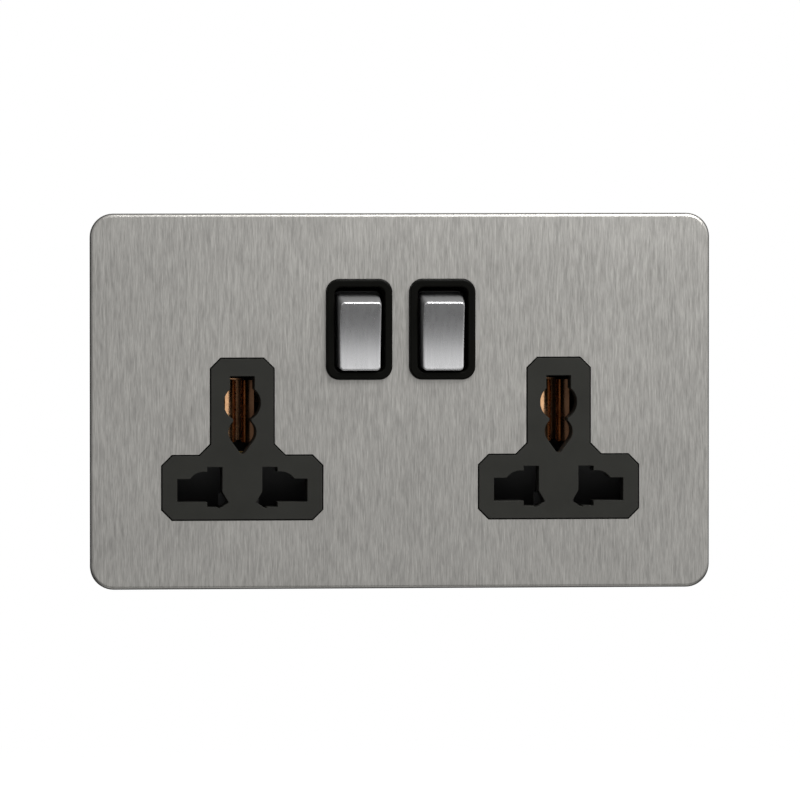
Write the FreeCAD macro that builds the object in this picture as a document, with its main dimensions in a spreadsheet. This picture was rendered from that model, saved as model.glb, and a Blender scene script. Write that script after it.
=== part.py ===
import FreeCAD, Part
import Sketcher

import math
import os

# Twin switched socket with multi-standard outlets on a screwless flat plate.
# X runs to the right as seen from the front, Z runs up and the front looks along -Y.
# The wall plane is Y = 0, so a "level" below is a height in front of the wall (level = -Y).
# The origin is the middle of the wall plane, halfway between the two fixing screws.

SIZES = [
    # Front plate: a flat brushed sheet with a bevelled edge.
    ("plate_width", 146.0),
    ("plate_height", 88.0),
    ("plate_corner", 5.5),
    ("plate_sheet", 1.4),
    ("plate_bevel", 0.55),
    ("plate_front", 5.0),
    ("plate_gap", 0.3),
    # Clip-on carrier behind the plate.
    ("carrier_inset", 1.2),
    ("carrier_wall", 2.0),
    ("carrier_web", 1.0),
    ("hook_width", 7.0),
    ("hook_thick", 1.2),
    ("hook_x", 38.0),
    ("hook_inset", 10.6),
    ("hook_barb", 1.2),
    ("hook_reach", 2.2),
    ("hook_clear", 0.15),
    ("hook_window_side", 0.5),
    ("hook_window_inner", 0.3),
    ("hook_window_outer", 0.9),
    ("clip_window_margin", 0.5),
    # Steel yoke that the fixing screws hold against the wall.
    ("yoke_inset", 5.0),
    ("yoke_sheet", 1.2),
    ("yoke_corner", 3.0),
    ("fixing_spacing", 120.6),
    ("fixing_radius", 1.75),
    ("fixing_length", 23.0),
    ("fixing_head_radius", 3.8),
    ("fixing_head_height", 1.7),
    ("fixing_slot_play", 1.2),
    ("fixing_hole_play", 1.25),
    ("fixing_drive_width", 0.9),
    ("head_room", 1.0),
    ("screw_tip_length", 0.8),
    ("screw_tip_taper", 0.6),
    # Moulded housing behind the plate.
    ("deck_side", 6.0),
    ("deck_end", 2.0),
    ("deck_thick", 1.4),
    ("module_play", 0.2),
    ("module_height", 61.0),
    ("module_corner", 3.0),
    ("module_wall", 1.6),
    ("module_depth", 20.0),
    ("cover_thick", 2.0),
    ("stake_side", 3.6),
    ("stake_end", 5.5),
    ("stake_radius", 1.5),
    ("stake_head", 0.8),
    ("stake_head_rim", 0.7),
    ("stake_play", 0.1),
    ("recess_depth", 0.8),
    ("recess_half", 6.0),
    # Outlets: a T-shaped insert with its pin holes, measured from the pin line.
    ("outlet_x", 37.3),
    ("pin_line_z", -20.85),
    ("insert_proud", 0.2),
    ("insert_half", 18.8),
    ("insert_bottom", 6.8),
    ("insert_shoulder", 8.1),
    ("insert_arm_half", 7.35),
    ("insert_top", 30.85),
    ("insert_corner", 2.35),
    ("insert_inner_corner", 2.7),
    ("floor_depth", 6.2),
    ("slot_outer", 15.3),
    ("slot_half_height", 2.7),
    ("blade_inner", 4.68),
    ("blade_outer", 8.28),
    ("blade_bottom", 3.9),
    ("blade_top", 5.48),
    ("arch_x", 9.0),
    ("arch_z", 0.4),
    ("arch_radius", 4.0),
    ("slant_x", 6.42),
    ("slant_z", 0.07),
    ("slant_width", 2.8),
    ("slant_length", 8.0),
    ("slant_angle", 30.0),
    ("earth_slot_half", 2.9),
    ("earth_slot_top", 26.75),
    ("earth_waist", 4.35),
    ("earth_round_z", 20.47),
    ("earth_round_radius", 4.35),
    ("earth_lobe_z", 13.65),
    ("earth_lobe_radius", 3.3),
    ("earth_tip_z", 9.36),
    ("earth_tip_radius", 0.8),
    # Shutter behind the line and neutral holes.
    ("shutter_half", 15.8),
    ("shutter_inner", 4.3),
    ("shutter_bottom", 4.2),
    ("shutter_top", 6.2),
    ("shutter_gap", 0.3),
    ("shutter_depth", 5.4),
    ("shutter_toe", 0.5),
    ("shutter_bridge", 3.2),
    ("shutter_travel", 10.0),
    ("rail_thick", 1.2),
    ("lip_reach", 1.0),
    ("lip_thick", 1.0),
    ("lip_gap", 0.4),
    ("ledge_half", 2.6),
    ("ledge_thick", 2.0),
    ("spring_x", 11.0),
    ("spring_seat_z", 6.0),
    ("spring_radius", 1.7),
    ("spring_wire", 0.25),
    ("spigot_radius", 1.0),
    ("spigot_height", 2.0),
    # Switches.
    ("bezel_between", 4.2),
    ("switch_z", 16.8),
    ("bezel_width", 15.4),
    ("bezel_height", 23.4),
    ("bezel_corner", 3.0),
    ("bezel_proud", 1.6),
    ("bezel_flange", 1.0),
    ("bezel_round", 0.4),
    ("bezel_side_rim", 1.8),
    ("bezel_end_rim", 1.8),
    ("well_corner", 1.6),
    ("tower_side", 3.35),
    ("tower_end", 2.3),
    ("tower_depth", 5.5),
    ("pivot_depth", 2.2),
    ("rocker_tilt", 8.0),
    ("cap_reach", 11.4),
    ("cap_end_gap", 1.8),
    ("cap_side_gap", 1.175),
    ("cap_depth", 9.4),
    ("cap_end_draft", 5.0),
    ("cap_side_draft", 4.0),
    ("cap_dish", 1.1),
    ("cap_wall", 0.8),
    ("cap_face_corner", 0.9),
    ("cap_base_corner", 1.1),
    ("cap_round", 0.35),
    ("fit_gap", 0.05),
    ("trunnion_radius", 1.5),
    ("trunnion_play", 0.06),
    ("trunnion_reach", 1.5),
    ("trunnion_end_play", 0.3),
    ("hub_radius", 2.0),
    ("hub_play", 0.25),
    ("block_back", 2.4),
    ("skirt_front", 1.7),
    ("skirt_thick", 3.0),
    ("skirt_side_gap", 0.3),
    ("skirt_end_gap", 0.7),
    ("guide_radius", 2.5),
    ("guide_length", 7.0),
    ("plunger_radius", 1.5),
    ("plunger_play", 0.1),
    ("plunger_reach", 9.0),
    ("plunger_length", 6.0),
    ("plunger_spring_length", 6.8),
    ("plunger_spring_radius", 1.25),
    ("plunger_spring_wire", 0.22),
    # Switch contacts and current-carrying strips.
    ("strip_thick", 0.8),
    ("arm_gap", 0.3),
    ("arm_half_length", 7.0),
    ("arm_width", 5.0),
    ("arm_tilt", 5.0),
    ("arm_dimple", 1.0),
    ("arm_dimple_radius", 1.2),
    ("knife_gap", 0.2),
    ("knife_half", 1.2),
    ("knife_edge_half", 0.15),
    ("knife_clear", 0.1),
    ("contact_offset", 5.0),
    ("live_layer", 14.0),
    ("neutral_layer", 16.4),
    ("strip_width", 3.0),
    ("bar_width", 4.0),
    ("pin_offset", 11.11),
    ("jaw_half_height", 3.2),
    ("jaw_width", 6.0),
    ("jaw_front", 8.3),
    ("jaw_waist_depth", 10.5),
    ("jaw_waist", 1.7),
    ("jaw_mouth", 2.9),
    ("jaw_leaf", 0.7),
    ("neutral_bar_z", -14.4),
    ("earth_bar_z", 1.5),
    ("earth_bar_width", 5.0),
    ("earth_jaw_bottom", 11.0),
    ("earth_jaw_top", 25.6),
    ("earth_jaw_waist_depth", 5.0),
    ("earth_jaw_waist", 0.6),
    ("earth_leaf_curve", 2.8),
    # Terminals in a row below the switches.
    ("terminal_pitch", 8.6),
    ("terminal_width", 7.2),
    ("terminal_bottom", -29.6),
    ("terminal_height", 9.0),
    ("terminal_thick", 8.0),
    ("terminal_bore", 2.3),
    ("terminal_bore_length", 7.5),
    ("clamp_radius", 1.5),
    ("clamp_play", 0.06),
    ("clamp_back", 0.3),
    ("clamp_travel", 3.0),
    ("clamp_head_radius", 2.3),
    ("clamp_head_height", 1.5),
    ("clamp_head_clear", 0.2),
    ("clamp_head_play", 0.4),
    ("clamp_drive_width", 0.7),
    ("shroud_wall", 0.8),
    ("shroud_height", 2.2),
    ("window_half", 17.6),
    ("window_depth", 8.6),
    ("partition", 0.8),
    ("partition_drop", 1.0),
    ("rib_half", 1.0),
    ("rib_clear", 5.5),
    ("line_rib_length", 3.0),
    ("tall_rib_length", 4.0),
    ("jaw_rib_half", 2.0),
    ("contact_rib_half", 1.5),
    # Screws that close the housing.
    ("post_side", 3.5),
    ("post_end", 3.0),
    ("post_radius", 2.1),
    ("cover_screw_radius", 1.2),
    ("cover_screw_length", 12.0),
    ("cover_screw_head", 2.2),
    ("cover_screw_head_height", 1.1),
    ("cover_screw_play", 0.2),
    ("cover_drive_width", 0.6),
    ("pilot_spare", 1.0),
    # Spring leaf that earths the plate.
    ("clip_width", 6.0),
    ("clip_leaf", 0.4),
    ("clip_margin", 0.4),
    ("clip_height", 4.8),
    ("clip_pad", 1.2),
    ("clip_pad_inner", 0.7),
    ("clip_bend", 1.0),
]

TINY = 1e-7

# A corner cut at 45 degrees gets this much longer for each millimetre the outline moves out.
CORNER_GROWTH = 2 - math.sqrt(2)


class Size:
    """A length or angle that knows its value now and the sheet expression that gives it."""

    def __init__(self, value, text):
        self.value = value
        self.text = text

    def __add__(self, other):
        other = as_size(other)
        return Size(self.value + other.value, "(%s + %s)" % (self.text, other.text))

    def __sub__(self, other):
        other = as_size(other)
        return Size(self.value - other.value, "(%s - %s)" % (self.text, other.text))

    def __mul__(self, other):
        other = as_size(other)
        return Size(self.value * other.value, "(%s * %s)" % (self.text, other.text))

    def __truediv__(self, other):
        other = as_size(other)
        return Size(self.value / other.value, "(%s / %s)" % (self.text, other.text))

    def __neg__(self):
        return Size(-self.value, "(0 - %s)" % self.text)

    def __radd__(self, other):
        return as_size(other) + self

    def __rsub__(self, other):
        return as_size(other) - self

    def __rmul__(self, other):
        return as_size(other) * self


def as_size(number):
    if isinstance(number, Size):
        return number
    return Size(float(number), "%.6f" % number)


def sine(angle):
    return Size(math.sin(math.radians(angle.value)), "sin(%s)" % angle.text)


def cosine(angle):
    return Size(math.cos(math.radians(angle.value)), "cos(%s)" % angle.text)


def tangent(angle):
    return Size(math.tan(math.radians(angle.value)), "tan(%s)" % angle.text)


def root(amount):
    return Size(math.sqrt(amount.value), "sqrt(%s)" % amount.text)


doc = FreeCAD.newDocument("twin_socket")


class SheetSizes:
    """The driving dimensions, one attribute for each alias in the sheet."""


def fill_sheet():
    sheet = doc.addObject("Spreadsheet::Sheet", "sizes")
    found = SheetSizes()
    for row, (alias, value) in enumerate(SIZES, start=1):
        sheet.set("A%d" % row, alias)
        sheet.set("B%d" % row, str(value))
        sheet.setAlias("B%d" % row, alias)
        setattr(found, alias, Size(value, "sizes." + alias))
    doc.recompute()
    return found


size = fill_sheet()

# Levels that several pieces share, as heights in front of the wall.
yoke_front = size.yoke_sheet
deck_front = yoke_front + size.deck_thick
plate_back = size.plate_front - size.plate_sheet
insert_front = size.plate_front + size.insert_proud
floor_back = insert_front - size.floor_depth
bezel_front = size.plate_front + size.bezel_proud
module_back = -size.module_depth
cover_back = module_back - size.cover_thick

# Widths and places that follow from the pieces that have to fit.
yoke_width = size.plate_width - 2 * size.yoke_inset
yoke_height = size.plate_height - 2 * size.yoke_inset
hook_z = size.plate_height / 2 - size.hook_inset
clip_top = yoke_height / 2 - size.clip_margin
clip_bottom = clip_top - size.clip_height
module_width = 2 * (size.outlet_x + size.shutter_half + size.shutter_gap + size.module_wall)
deck_width = module_width + 2 * size.deck_side
deck_height = size.module_height + 2 * size.deck_end
stake_x = module_width / 2 + size.stake_side
stake_z = size.module_height / 2 - size.stake_end
post_x = module_width / 2 - size.post_side
post_z = size.module_height / 2 - size.post_end
switch_x = (size.bezel_width + size.bezel_between) / 2
well_width = size.bezel_width - 2 * size.bezel_side_rim
well_height = size.bezel_height - 2 * size.bezel_end_rim
cap_half_width = well_width / 2 - size.cap_side_gap
cap_half_length = well_height / 2 - size.cap_end_gap
inner_half_width = module_width / 2 - size.module_wall
inner_half_height = size.module_height / 2 - size.module_wall
fixing_x = size.fixing_spacing / 2
arm_front_level = -(size.pivot_depth + size.plunger_reach + size.arm_gap)
arm_back_level = arm_front_level - size.strip_thick
live_level = -size.live_layer
neutral_level = -size.neutral_layer
earth_level = module_back + size.strip_thick
terminal_top = size.terminal_bottom + size.terminal_height
terminal_front_level = module_back + size.terminal_thick
bore_level = module_back + size.terminal_thick / 2
contact_z = size.switch_z + size.contact_offset

SIDES = (("left", -1), ("right", 1))


# Document helpers.

def new_body(label):
    body = doc.addObject("PartDesign::Body", label)
    body.Label = label
    return body


def origin_plane(body, role):
    for feature in body.Origin.OriginFeatures:
        if feature.Role == role:
            return feature
    raise ValueError(role)


def sketch_on(body, name, role, offset):
    """A sketch on one of the body's own planes, moved along that plane's normal."""
    sketch = body.newObject("Sketcher::SketchObject", name)
    sketch.AttachmentSupport = [(origin_plane(body, role), "")]
    sketch.MapMode = "FlatFace"
    offset = as_size(offset)
    sketch.AttachmentOffset = FreeCAD.Placement(
        FreeCAD.Vector(0, 0, offset.value), FreeCAD.Rotation())
    sketch.setExpression("AttachmentOffset.Base.z", offset.text)
    return sketch


def front_sketch(body, name, level):
    """A sketch that faces the front, at a height in front of the wall. Its axes are X and Z."""
    return sketch_on(body, name, "XZ_Plane", level)


def side_sketch(body, name, x=0):
    """A sketch that faces right. Its axes are Y and Z."""
    return sketch_on(body, name, "YZ_Plane", x)


def top_sketch(body, name, z=0):
    """A sketch that faces up. Its axes are X and Y."""
    return sketch_on(body, name, "XY_Plane", z)


def bind(sketch, constraint, amount):
    index = sketch.addConstraint(constraint)
    sketch.setExpression("Constraints[%d]" % index, amount.text)


def place_across(sketch, geometry, end, across):
    """Tie a point's distance across from the sketch's origin."""
    across = as_size(across)
    if abs(across.value) < TINY:
        sketch.addConstraint(Sketcher.Constraint("PointOnObject", geometry, end, -2))
    else:
        bind(sketch, Sketcher.Constraint("DistanceX", -1, 1, geometry, end, across.value), across)


def place_up(sketch, geometry, end, up):
    """Tie a point's distance up from the sketch's origin."""
    up = as_size(up)
    if abs(up.value) < TINY:
        sketch.addConstraint(Sketcher.Constraint("PointOnObject", geometry, end, -1))
    else:
        bind(sketch, Sketcher.Constraint("DistanceY", -1, 1, geometry, end, up.value), up)


def place_point(sketch, geometry, end, across, up):
    place_across(sketch, geometry, end, across)
    place_up(sketch, geometry, end, up)


def vector(across, up):
    return FreeCAD.Vector(as_size(across).value, as_size(up).value, 0)


def add_polygon(sketch, points):
    first = sketch.GeometryCount
    count = len(points)
    for index, point in enumerate(points):
        following = points[(index + 1) % count]
        sketch.addGeometry(Part.LineSegment(vector(*point), vector(*following)), False)
    for index, point in enumerate(points):
        previous = first + (index - 1) % count
        sketch.addConstraint(Sketcher.Constraint("Coincident", previous, 2, first + index, 1))
        place_point(sketch, first + index, 1, point[0], point[1])


def add_rectangle(sketch, left, right, bottom, top):
    add_polygon(sketch, [(left, bottom), (right, bottom), (right, top), (left, top)])


def add_centred_rectangle(sketch, across, up, width, height):
    add_rectangle(sketch, across - width / 2, across + width / 2, up - height / 2, up + height / 2)


def add_circle(sketch, across, up, radius):
    index = sketch.addGeometry(
        Part.Circle(vector(across, up), FreeCAD.Vector(0, 0, 1), radius.value), False)
    place_point(sketch, index, 3, across, up)
    bind(sketch, Sketcher.Constraint("Radius", index, radius.value), radius)


def add_rounded_rectangle(sketch, across, up, width, height, radius):
    """Four lines and four corner arcs; each line's ends are tied to their places."""
    across = as_size(across)
    up = as_size(up)
    left = across - width / 2
    right = across + width / 2
    bottom = up - height / 2
    top = up + height / 2
    lines = [
        ((left + radius, bottom), (right - radius, bottom)),
        ((right, bottom + radius), (right, top - radius)),
        ((right - radius, top), (left + radius, top)),
        ((left, top - radius), (left, bottom + radius)),
    ]
    centres = [
        (right - radius, bottom + radius, 270),
        (right - radius, top - radius, 0),
        (left + radius, top - radius, 90),
        (left + radius, bottom + radius, 180),
    ]
    first = sketch.GeometryCount
    for start, end in lines:
        sketch.addGeometry(Part.LineSegment(vector(*start), vector(*end)), False)
    for centre_x, centre_z, start_angle in centres:
        circle = Part.Circle(vector(centre_x, centre_z), FreeCAD.Vector(0, 0, 1), radius.value)
        start = math.radians(start_angle)
        sketch.addGeometry(Part.ArcOfCircle(circle, start, start + math.pi / 2), False)
    for index, (start, end) in enumerate(lines):
        arc = first + 4 + index
        place_point(sketch, first + index, 1, start[0], start[1])
        place_point(sketch, first + index, 2, end[0], end[1])
        sketch.addConstraint(Sketcher.Constraint("Coincident", first + index, 2, arc, 1))
        sketch.addConstraint(
            Sketcher.Constraint("Coincident", arc, 2, first + (index + 1) % 4, 1))
        bind(sketch, Sketcher.Constraint("Radius", arc, radius.value), radius)


def add_slot(sketch, across, up, length, radius):
    """A slot along the first axis, from end to end over its round ends."""
    across = as_size(across)
    up = as_size(up)
    reach = length / 2 - radius
    first = sketch.GeometryCount
    rows = [((across - reach, up - radius), (across + reach, up - radius)),
            ((across + reach, up + radius), (across - reach, up + radius))]
    for start, end in rows:
        sketch.addGeometry(Part.LineSegment(vector(*start), vector(*end)), False)
    for centre_x, start_angle in ((across + reach, -90), (across - reach, 90)):
        circle = Part.Circle(vector(centre_x, up), FreeCAD.Vector(0, 0, 1), radius.value)
        start = math.radians(start_angle)
        sketch.addGeometry(Part.ArcOfCircle(circle, start, start + math.pi), False)
    for index, (start, end) in enumerate(rows):
        place_point(sketch, first + index, 1, start[0], start[1])
        place_point(sketch, first + index, 2, end[0], end[1])
        sketch.addConstraint(Sketcher.Constraint("Coincident", first + index, 2, first + 2 + index, 1))
        sketch.addConstraint(
            Sketcher.Constraint("Coincident", first + 2 + index, 2, first + (index + 1) % 2, 1))
        place_across(sketch, first + 2 + index, 3, end[0])


def pad(body, sketch, length, backwards=False, both_ways=False):
    """Material from the sketch along its normal, or against it when backwards."""
    feature = body.newObject("PartDesign::Pad", "pad_" + sketch.Name)
    feature.Profile = sketch
    length = as_size(length)
    feature.Length = length.value
    feature.setExpression("Length", length.text)
    feature.Reversed = backwards
    feature.Midplane = both_ways
    return feature


def pocket(body, sketch, length, forwards=False, both_ways=False):
    """A cut from the sketch against its normal, or along it when forwards."""
    feature = body.newObject("PartDesign::Pocket", "cut_" + sketch.Name)
    feature.Profile = sketch
    length = as_size(length)
    feature.Length = length.value
    feature.setExpression("Length", length.text)
    feature.Reversed = forwards
    feature.Midplane = both_ways
    return feature


def edge_names(feature, wanted):
    doc.recompute()
    return ["Edge%d" % (index + 1) for index, edge in enumerate(feature.Shape.Edges) if wanted(edge)]


def round_edges(body, feature, radius, wanted):
    rounded = body.newObject("PartDesign::Fillet", "round_" + feature.Name)
    rounded.Base = (feature, edge_names(feature, wanted))
    rounded.Radius = radius.value
    rounded.setExpression("Radius", radius.text)
    return rounded


def bevel_edges(body, feature, width, wanted):
    bevel = body.newObject("PartDesign::Chamfer", "bevel_" + feature.Name)
    bevel.Base = (feature, edge_names(feature, wanted))
    bevel.Size = width.value
    bevel.setExpression("Size", width.text)
    return bevel


def lies_at_level(level):
    """True for an edge that lies wholly at this height in front of the wall."""
    def test(edge):
        box = edge.BoundBox
        return abs(box.YMin + level.value) < 1e-4 and abs(box.YMax + level.value) < 1e-4
    return test


def seat(body, x, y, z, tilt=None):
    """Put a body whose own origin is its pivot or axis at its place in the socket."""
    for axis, amount in (("x", x), ("y", y), ("z", z)):
        body.setExpression("Placement.Base." + axis, as_size(amount).text)
    angle = as_size(0 if tilt is None else tilt)
    body.Placement = FreeCAD.Placement(
        FreeCAD.Vector(as_size(x).value, as_size(y).value, as_size(z).value),
        FreeCAD.Rotation(FreeCAD.Vector(1, 0, 0), angle.value))


def insert_points(outlet_x, grow):
    """The T outline of an outlet insert, moved out by grow all round."""
    grow = as_size(grow)
    corner = size.insert_corner + grow * CORNER_GROWTH
    inner = size.insert_inner_corner - grow * CORNER_GROWTH
    half = size.insert_half + grow
    arm = size.insert_arm_half + grow
    bottom = size.pin_line_z - size.insert_bottom - grow
    shoulder = size.pin_line_z + size.insert_shoulder + grow
    top = size.pin_line_z + size.insert_top + grow
    right = [
        (half - corner, bottom),
        (half, bottom + corner),
        (half, shoulder - corner),
        (half - corner, shoulder),
        (arm + inner, shoulder),
        (arm, shoulder + inner),
        (arm, top - corner),
        (arm - corner, top),
    ]
    left = [(-across, up) for across, up in reversed(right)]
    return [(outlet_x + across, up) for across, up in right + left]


# Front: plate, carrier, yoke and earthing leaf.

def make_front_plate():
    body = new_body("front_plate")
    outline = front_sketch(body, "plate_outline", size.plate_front)
    add_rounded_rectangle(outline, 0, 0, size.plate_width, size.plate_height, size.plate_corner)
    blank = pad(body, outline, size.plate_sheet, backwards=True)
    bevel_edges(body, blank, size.plate_bevel, lies_at_level(size.plate_front))
    openings = front_sketch(body, "plate_openings", size.plate_front)
    for _, side in SIDES:
        add_polygon(openings, insert_points(side * size.outlet_x, size.plate_gap))
        add_rounded_rectangle(openings, side * switch_x, size.switch_z,
                              size.bezel_width + size.plate_gap, size.bezel_height + size.plate_gap,
                              size.bezel_corner + size.plate_gap / 2)
    pocket(body, openings, size.plate_sheet)
    return body


def make_plate_carrier():
    body = new_body("plate_carrier")
    width = size.plate_width - 2 * size.carrier_inset
    height = size.plate_height - 2 * size.carrier_inset
    corner = size.plate_corner - size.carrier_inset / 2
    outline = front_sketch(body, "carrier_outline", plate_back)
    add_rounded_rectangle(outline, 0, 0, width, height, corner)
    pad(body, outline, plate_back, backwards=True)
    hollow = front_sketch(body, "carrier_hollow", plate_back - size.carrier_web)
    add_rounded_rectangle(hollow, 0, 0, width - 2 * size.carrier_wall,
                          height - 2 * size.carrier_wall, corner - size.carrier_wall)
    pocket(body, hollow, plate_back)
    openings = front_sketch(body, "carrier_openings", plate_back)
    for _, side in SIDES:
        add_polygon(openings, insert_points(side * size.outlet_x, size.plate_gap))
        add_rounded_rectangle(openings, side * switch_x, size.switch_z,
                              size.bezel_width + 2 * size.bezel_flange + size.plate_gap,
                              size.bezel_height + 2 * size.bezel_flange + size.plate_gap,
                              size.bezel_corner + size.bezel_flange)
        add_circle(openings, side * fixing_x, 0, size.fixing_head_radius + size.head_room)
    clip_middle = (clip_bottom + clip_top) / 2
    add_centred_rectangle(openings, as_size(0), clip_middle,
                          size.clip_width + 2 * size.clip_window_margin,
                          clip_top - clip_bottom + 2 * size.clip_window_margin)
    pocket(body, openings, size.carrier_web)
    legs = front_sketch(body, "hook_legs", plate_back - size.carrier_web / 2)
    barbs = front_sketch(body, "hook_barbs", -size.hook_clear)
    for _, side in SIDES:
        for rise in (-1, 1):
            inner = rise * hook_z
            outer = rise * (hook_z + size.hook_thick)
            tip = rise * (hook_z + size.hook_thick + size.hook_barb)
            left = side * size.hook_x - size.hook_width / 2
            right = side * size.hook_x + size.hook_width / 2
            add_rectangle(legs, left, right, inner, outer)
            add_rectangle(barbs, left, right, inner, tip)
    pad(body, legs, plate_back - size.carrier_web / 2 + size.hook_reach, backwards=True)
    pad(body, barbs, size.hook_reach - size.hook_clear, backwards=True)
    return body


def make_mounting_yoke():
    body = new_body("mounting_yoke")
    outline = front_sketch(body, "yoke_outline", yoke_front)
    add_rounded_rectangle(outline, 0, 0, yoke_width, yoke_height, size.yoke_corner)
    pad(body, outline, size.yoke_sheet, backwards=True)
    openings = front_sketch(body, "yoke_openings", yoke_front)
    add_rounded_rectangle(openings, 0, 0, module_width + 2 * size.module_play,
                          size.module_height + 2 * size.module_play, size.module_corner)
    hole_radius = size.fixing_radius + size.fixing_hole_play
    window_half = size.hook_width / 2 + size.hook_window_side
    for _, side in SIDES:
        add_slot(openings, side * fixing_x, 0, 2 * hole_radius + size.fixing_slot_play, hole_radius)
        for rise in (-1, 1):
            add_circle(openings, side * stake_x, rise * stake_z, size.stake_radius + size.stake_play)
            add_rectangle(openings, side * size.hook_x - window_half, side * size.hook_x + window_half,
                          rise * (hook_z - size.hook_window_inner),
                          rise * (hook_z + size.hook_thick + size.hook_window_outer))
    pocket(body, openings, size.yoke_sheet)
    return body


def make_plate_earth_clip():
    """A bent leaf on the yoke that presses on the back of the metal plate."""
    body = new_body("plate_earth_clip")
    profile = side_sketch(body, "clip_profile")
    foot = -yoke_front
    head = -plate_back
    leaf = size.clip_leaf
    add_polygon(profile, [
        (foot, clip_bottom),
        (foot, clip_top),
        (foot - leaf, clip_top),
        (head, clip_bottom + size.clip_pad),
        (head, clip_bottom),
        (head + leaf, clip_bottom),
        (head + leaf, clip_bottom + size.clip_pad_inner),
        (foot - leaf, clip_top - size.clip_bend),
        (foot - leaf, clip_bottom),
    ])
    pad(body, profile, size.clip_width, both_ways=True)
    return body


def make_fixing_screw(side_name, side):
    """Machine screw through the yoke into the wall box, turned about its own axis."""
    body = new_body("fixing_screw_" + side_name)
    profile = top_sketch(body, "fixing_profile")
    head_front = -(yoke_front + size.fixing_head_height)
    head_back = -yoke_front
    tip = size.fixing_length - yoke_front
    add_polygon(profile, [
        (as_size(0), head_front),
        (size.fixing_head_radius * 0.6, head_front),
        (size.fixing_head_radius, head_front + size.fixing_head_height * 0.45),
        (size.fixing_head_radius, head_back),
        (size.fixing_radius, head_back),
        (size.fixing_radius, tip - size.screw_tip_length),
        (size.fixing_radius - size.screw_tip_taper, tip),
        (as_size(0), tip),
    ])
    turned = body.newObject("PartDesign::Revolution", "fixing_turned")
    turned.Profile = profile
    turned.ReferenceAxis = (profile, ["V_Axis"])
    turned.Angle = 360
    slot = front_sketch(body, "fixing_drive", yoke_front + size.fixing_head_height)
    add_centred_rectangle(slot, as_size(0), as_size(0), 3 * size.fixing_head_radius,
                          size.fixing_drive_width)
    pocket(body, slot, size.fixing_head_height * 0.5)
    seat(body, side * fixing_x, 0, 0)
    return body


# Housing.

def add_pin_holes(body):
    """Compound pin holes: slot, vertical blade, round arch and slanted blade on each side."""
    line = size.pin_line_z
    slots = front_sketch(body, "flat_pin_slots", insert_front)
    blades = front_sketch(body, "upright_blade_slots", insert_front)
    arches = front_sketch(body, "round_pin_arches", insert_front)
    slants = front_sketch(body, "slanted_blade_slots", insert_front)
    uprights = front_sketch(body, "earth_blade_slots", insert_front)
    rounds = front_sketch(body, "earth_round_holes", insert_front)
    lobes = front_sketch(body, "earth_lobes", insert_front)
    tapers = front_sketch(body, "earth_tapers", insert_front)
    tips = front_sketch(body, "earth_tips", insert_front)
    along = (sine(size.slant_angle), cosine(size.slant_angle))
    drop = size.slot_half_height + size.arch_z
    chord = root(size.arch_radius * size.arch_radius - drop * drop)
    taper_sine = (size.earth_lobe_radius - size.earth_tip_radius) / (size.earth_lobe_z - size.earth_tip_z)
    taper_cosine = root(1 - taper_sine * taper_sine)
    for _, side in SIDES:
        middle = side * size.outlet_x
        for hand in (-1, 1):
            inner = middle + hand * size.blade_outer
            outer = middle + hand * size.slot_outer
            add_rectangle(slots, inner, outer, line - size.slot_half_height, line + size.slot_half_height)
            add_rectangle(blades, middle + hand * size.blade_inner, middle + hand * size.blade_outer,
                          line - size.blade_bottom, line + size.blade_top)
            add_cut_circle(arches, middle + hand * size.arch_x, line + size.arch_z,
                           size.arch_radius, drop, chord)
            centre_x = middle + hand * size.slant_x
            centre_z = line - size.slant_z
            corners = []
            for ahead, aside in ((-1, -1), (-1, 1), (1, 1), (1, -1)):
                reach = ahead * size.slant_length / 2
                width = aside * size.slant_width / 2
                corners.append((centre_x + hand * (reach * along[0] + width * along[1]),
                                centre_z + reach * along[1] - width * along[0]))
            add_polygon(slants, corners)
        add_rectangle(uprights, middle - size.earth_slot_half, middle + size.earth_slot_half,
                      line + size.earth_round_z, line + size.earth_slot_top)
        add_circle(rounds, middle, line + size.earth_round_z, size.earth_round_radius)
        add_circle(lobes, middle, line + size.earth_lobe_z, size.earth_lobe_radius)
        add_circle(tips, middle, line + size.earth_tip_z, size.earth_tip_radius)
        wide = size.earth_lobe_radius * taper_cosine
        narrow = size.earth_tip_radius * taper_cosine
        wide_z = line + size.earth_lobe_z - size.earth_lobe_radius * taper_sine
        narrow_z = line + size.earth_tip_z - size.earth_tip_radius * taper_sine
        add_polygon(tapers, [(middle - narrow, narrow_z), (middle + narrow, narrow_z),
                             (middle + wide, wide_z), (middle - wide, wide_z)])
    for sketch in (slots, blades, arches, slants, uprights, rounds, lobes, tapers, tips):
        pocket(body, sketch, size.floor_depth)
    waists = front_sketch(body, "earth_waists", insert_front)
    for _, side in SIDES:
        middle = side * size.outlet_x
        add_centred_rectangle(waists, middle, line + (size.earth_round_z + size.earth_lobe_z) / 2,
                              size.earth_waist, size.earth_round_z - size.earth_lobe_z)
    pocket(body, waists, size.floor_depth)


def add_cut_circle(sketch, across, up, radius, drop, chord):
    """A circle cut off by a level line this far below its centre."""
    start_x = across + chord
    end_x = across - chord
    low = up - drop
    circle = Part.Circle(vector(across, up), FreeCAD.Vector(0, 0, 1), radius.value)
    below = math.atan2(drop.value, chord.value)
    first = sketch.GeometryCount
    sketch.addGeometry(Part.ArcOfCircle(circle, -below, math.pi + below), False)
    sketch.addGeometry(Part.LineSegment(vector(end_x, low), vector(start_x, low)), False)
    place_point(sketch, first + 1, 1, end_x, low)
    place_point(sketch, first + 1, 2, start_x, low)
    sketch.addConstraint(Sketcher.Constraint("Coincident", first, 1, first + 1, 2))
    sketch.addConstraint(Sketcher.Constraint("Coincident", first, 2, first + 1, 1))
    bind(sketch, Sketcher.Constraint("Radius", first, radius.value), radius)


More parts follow.
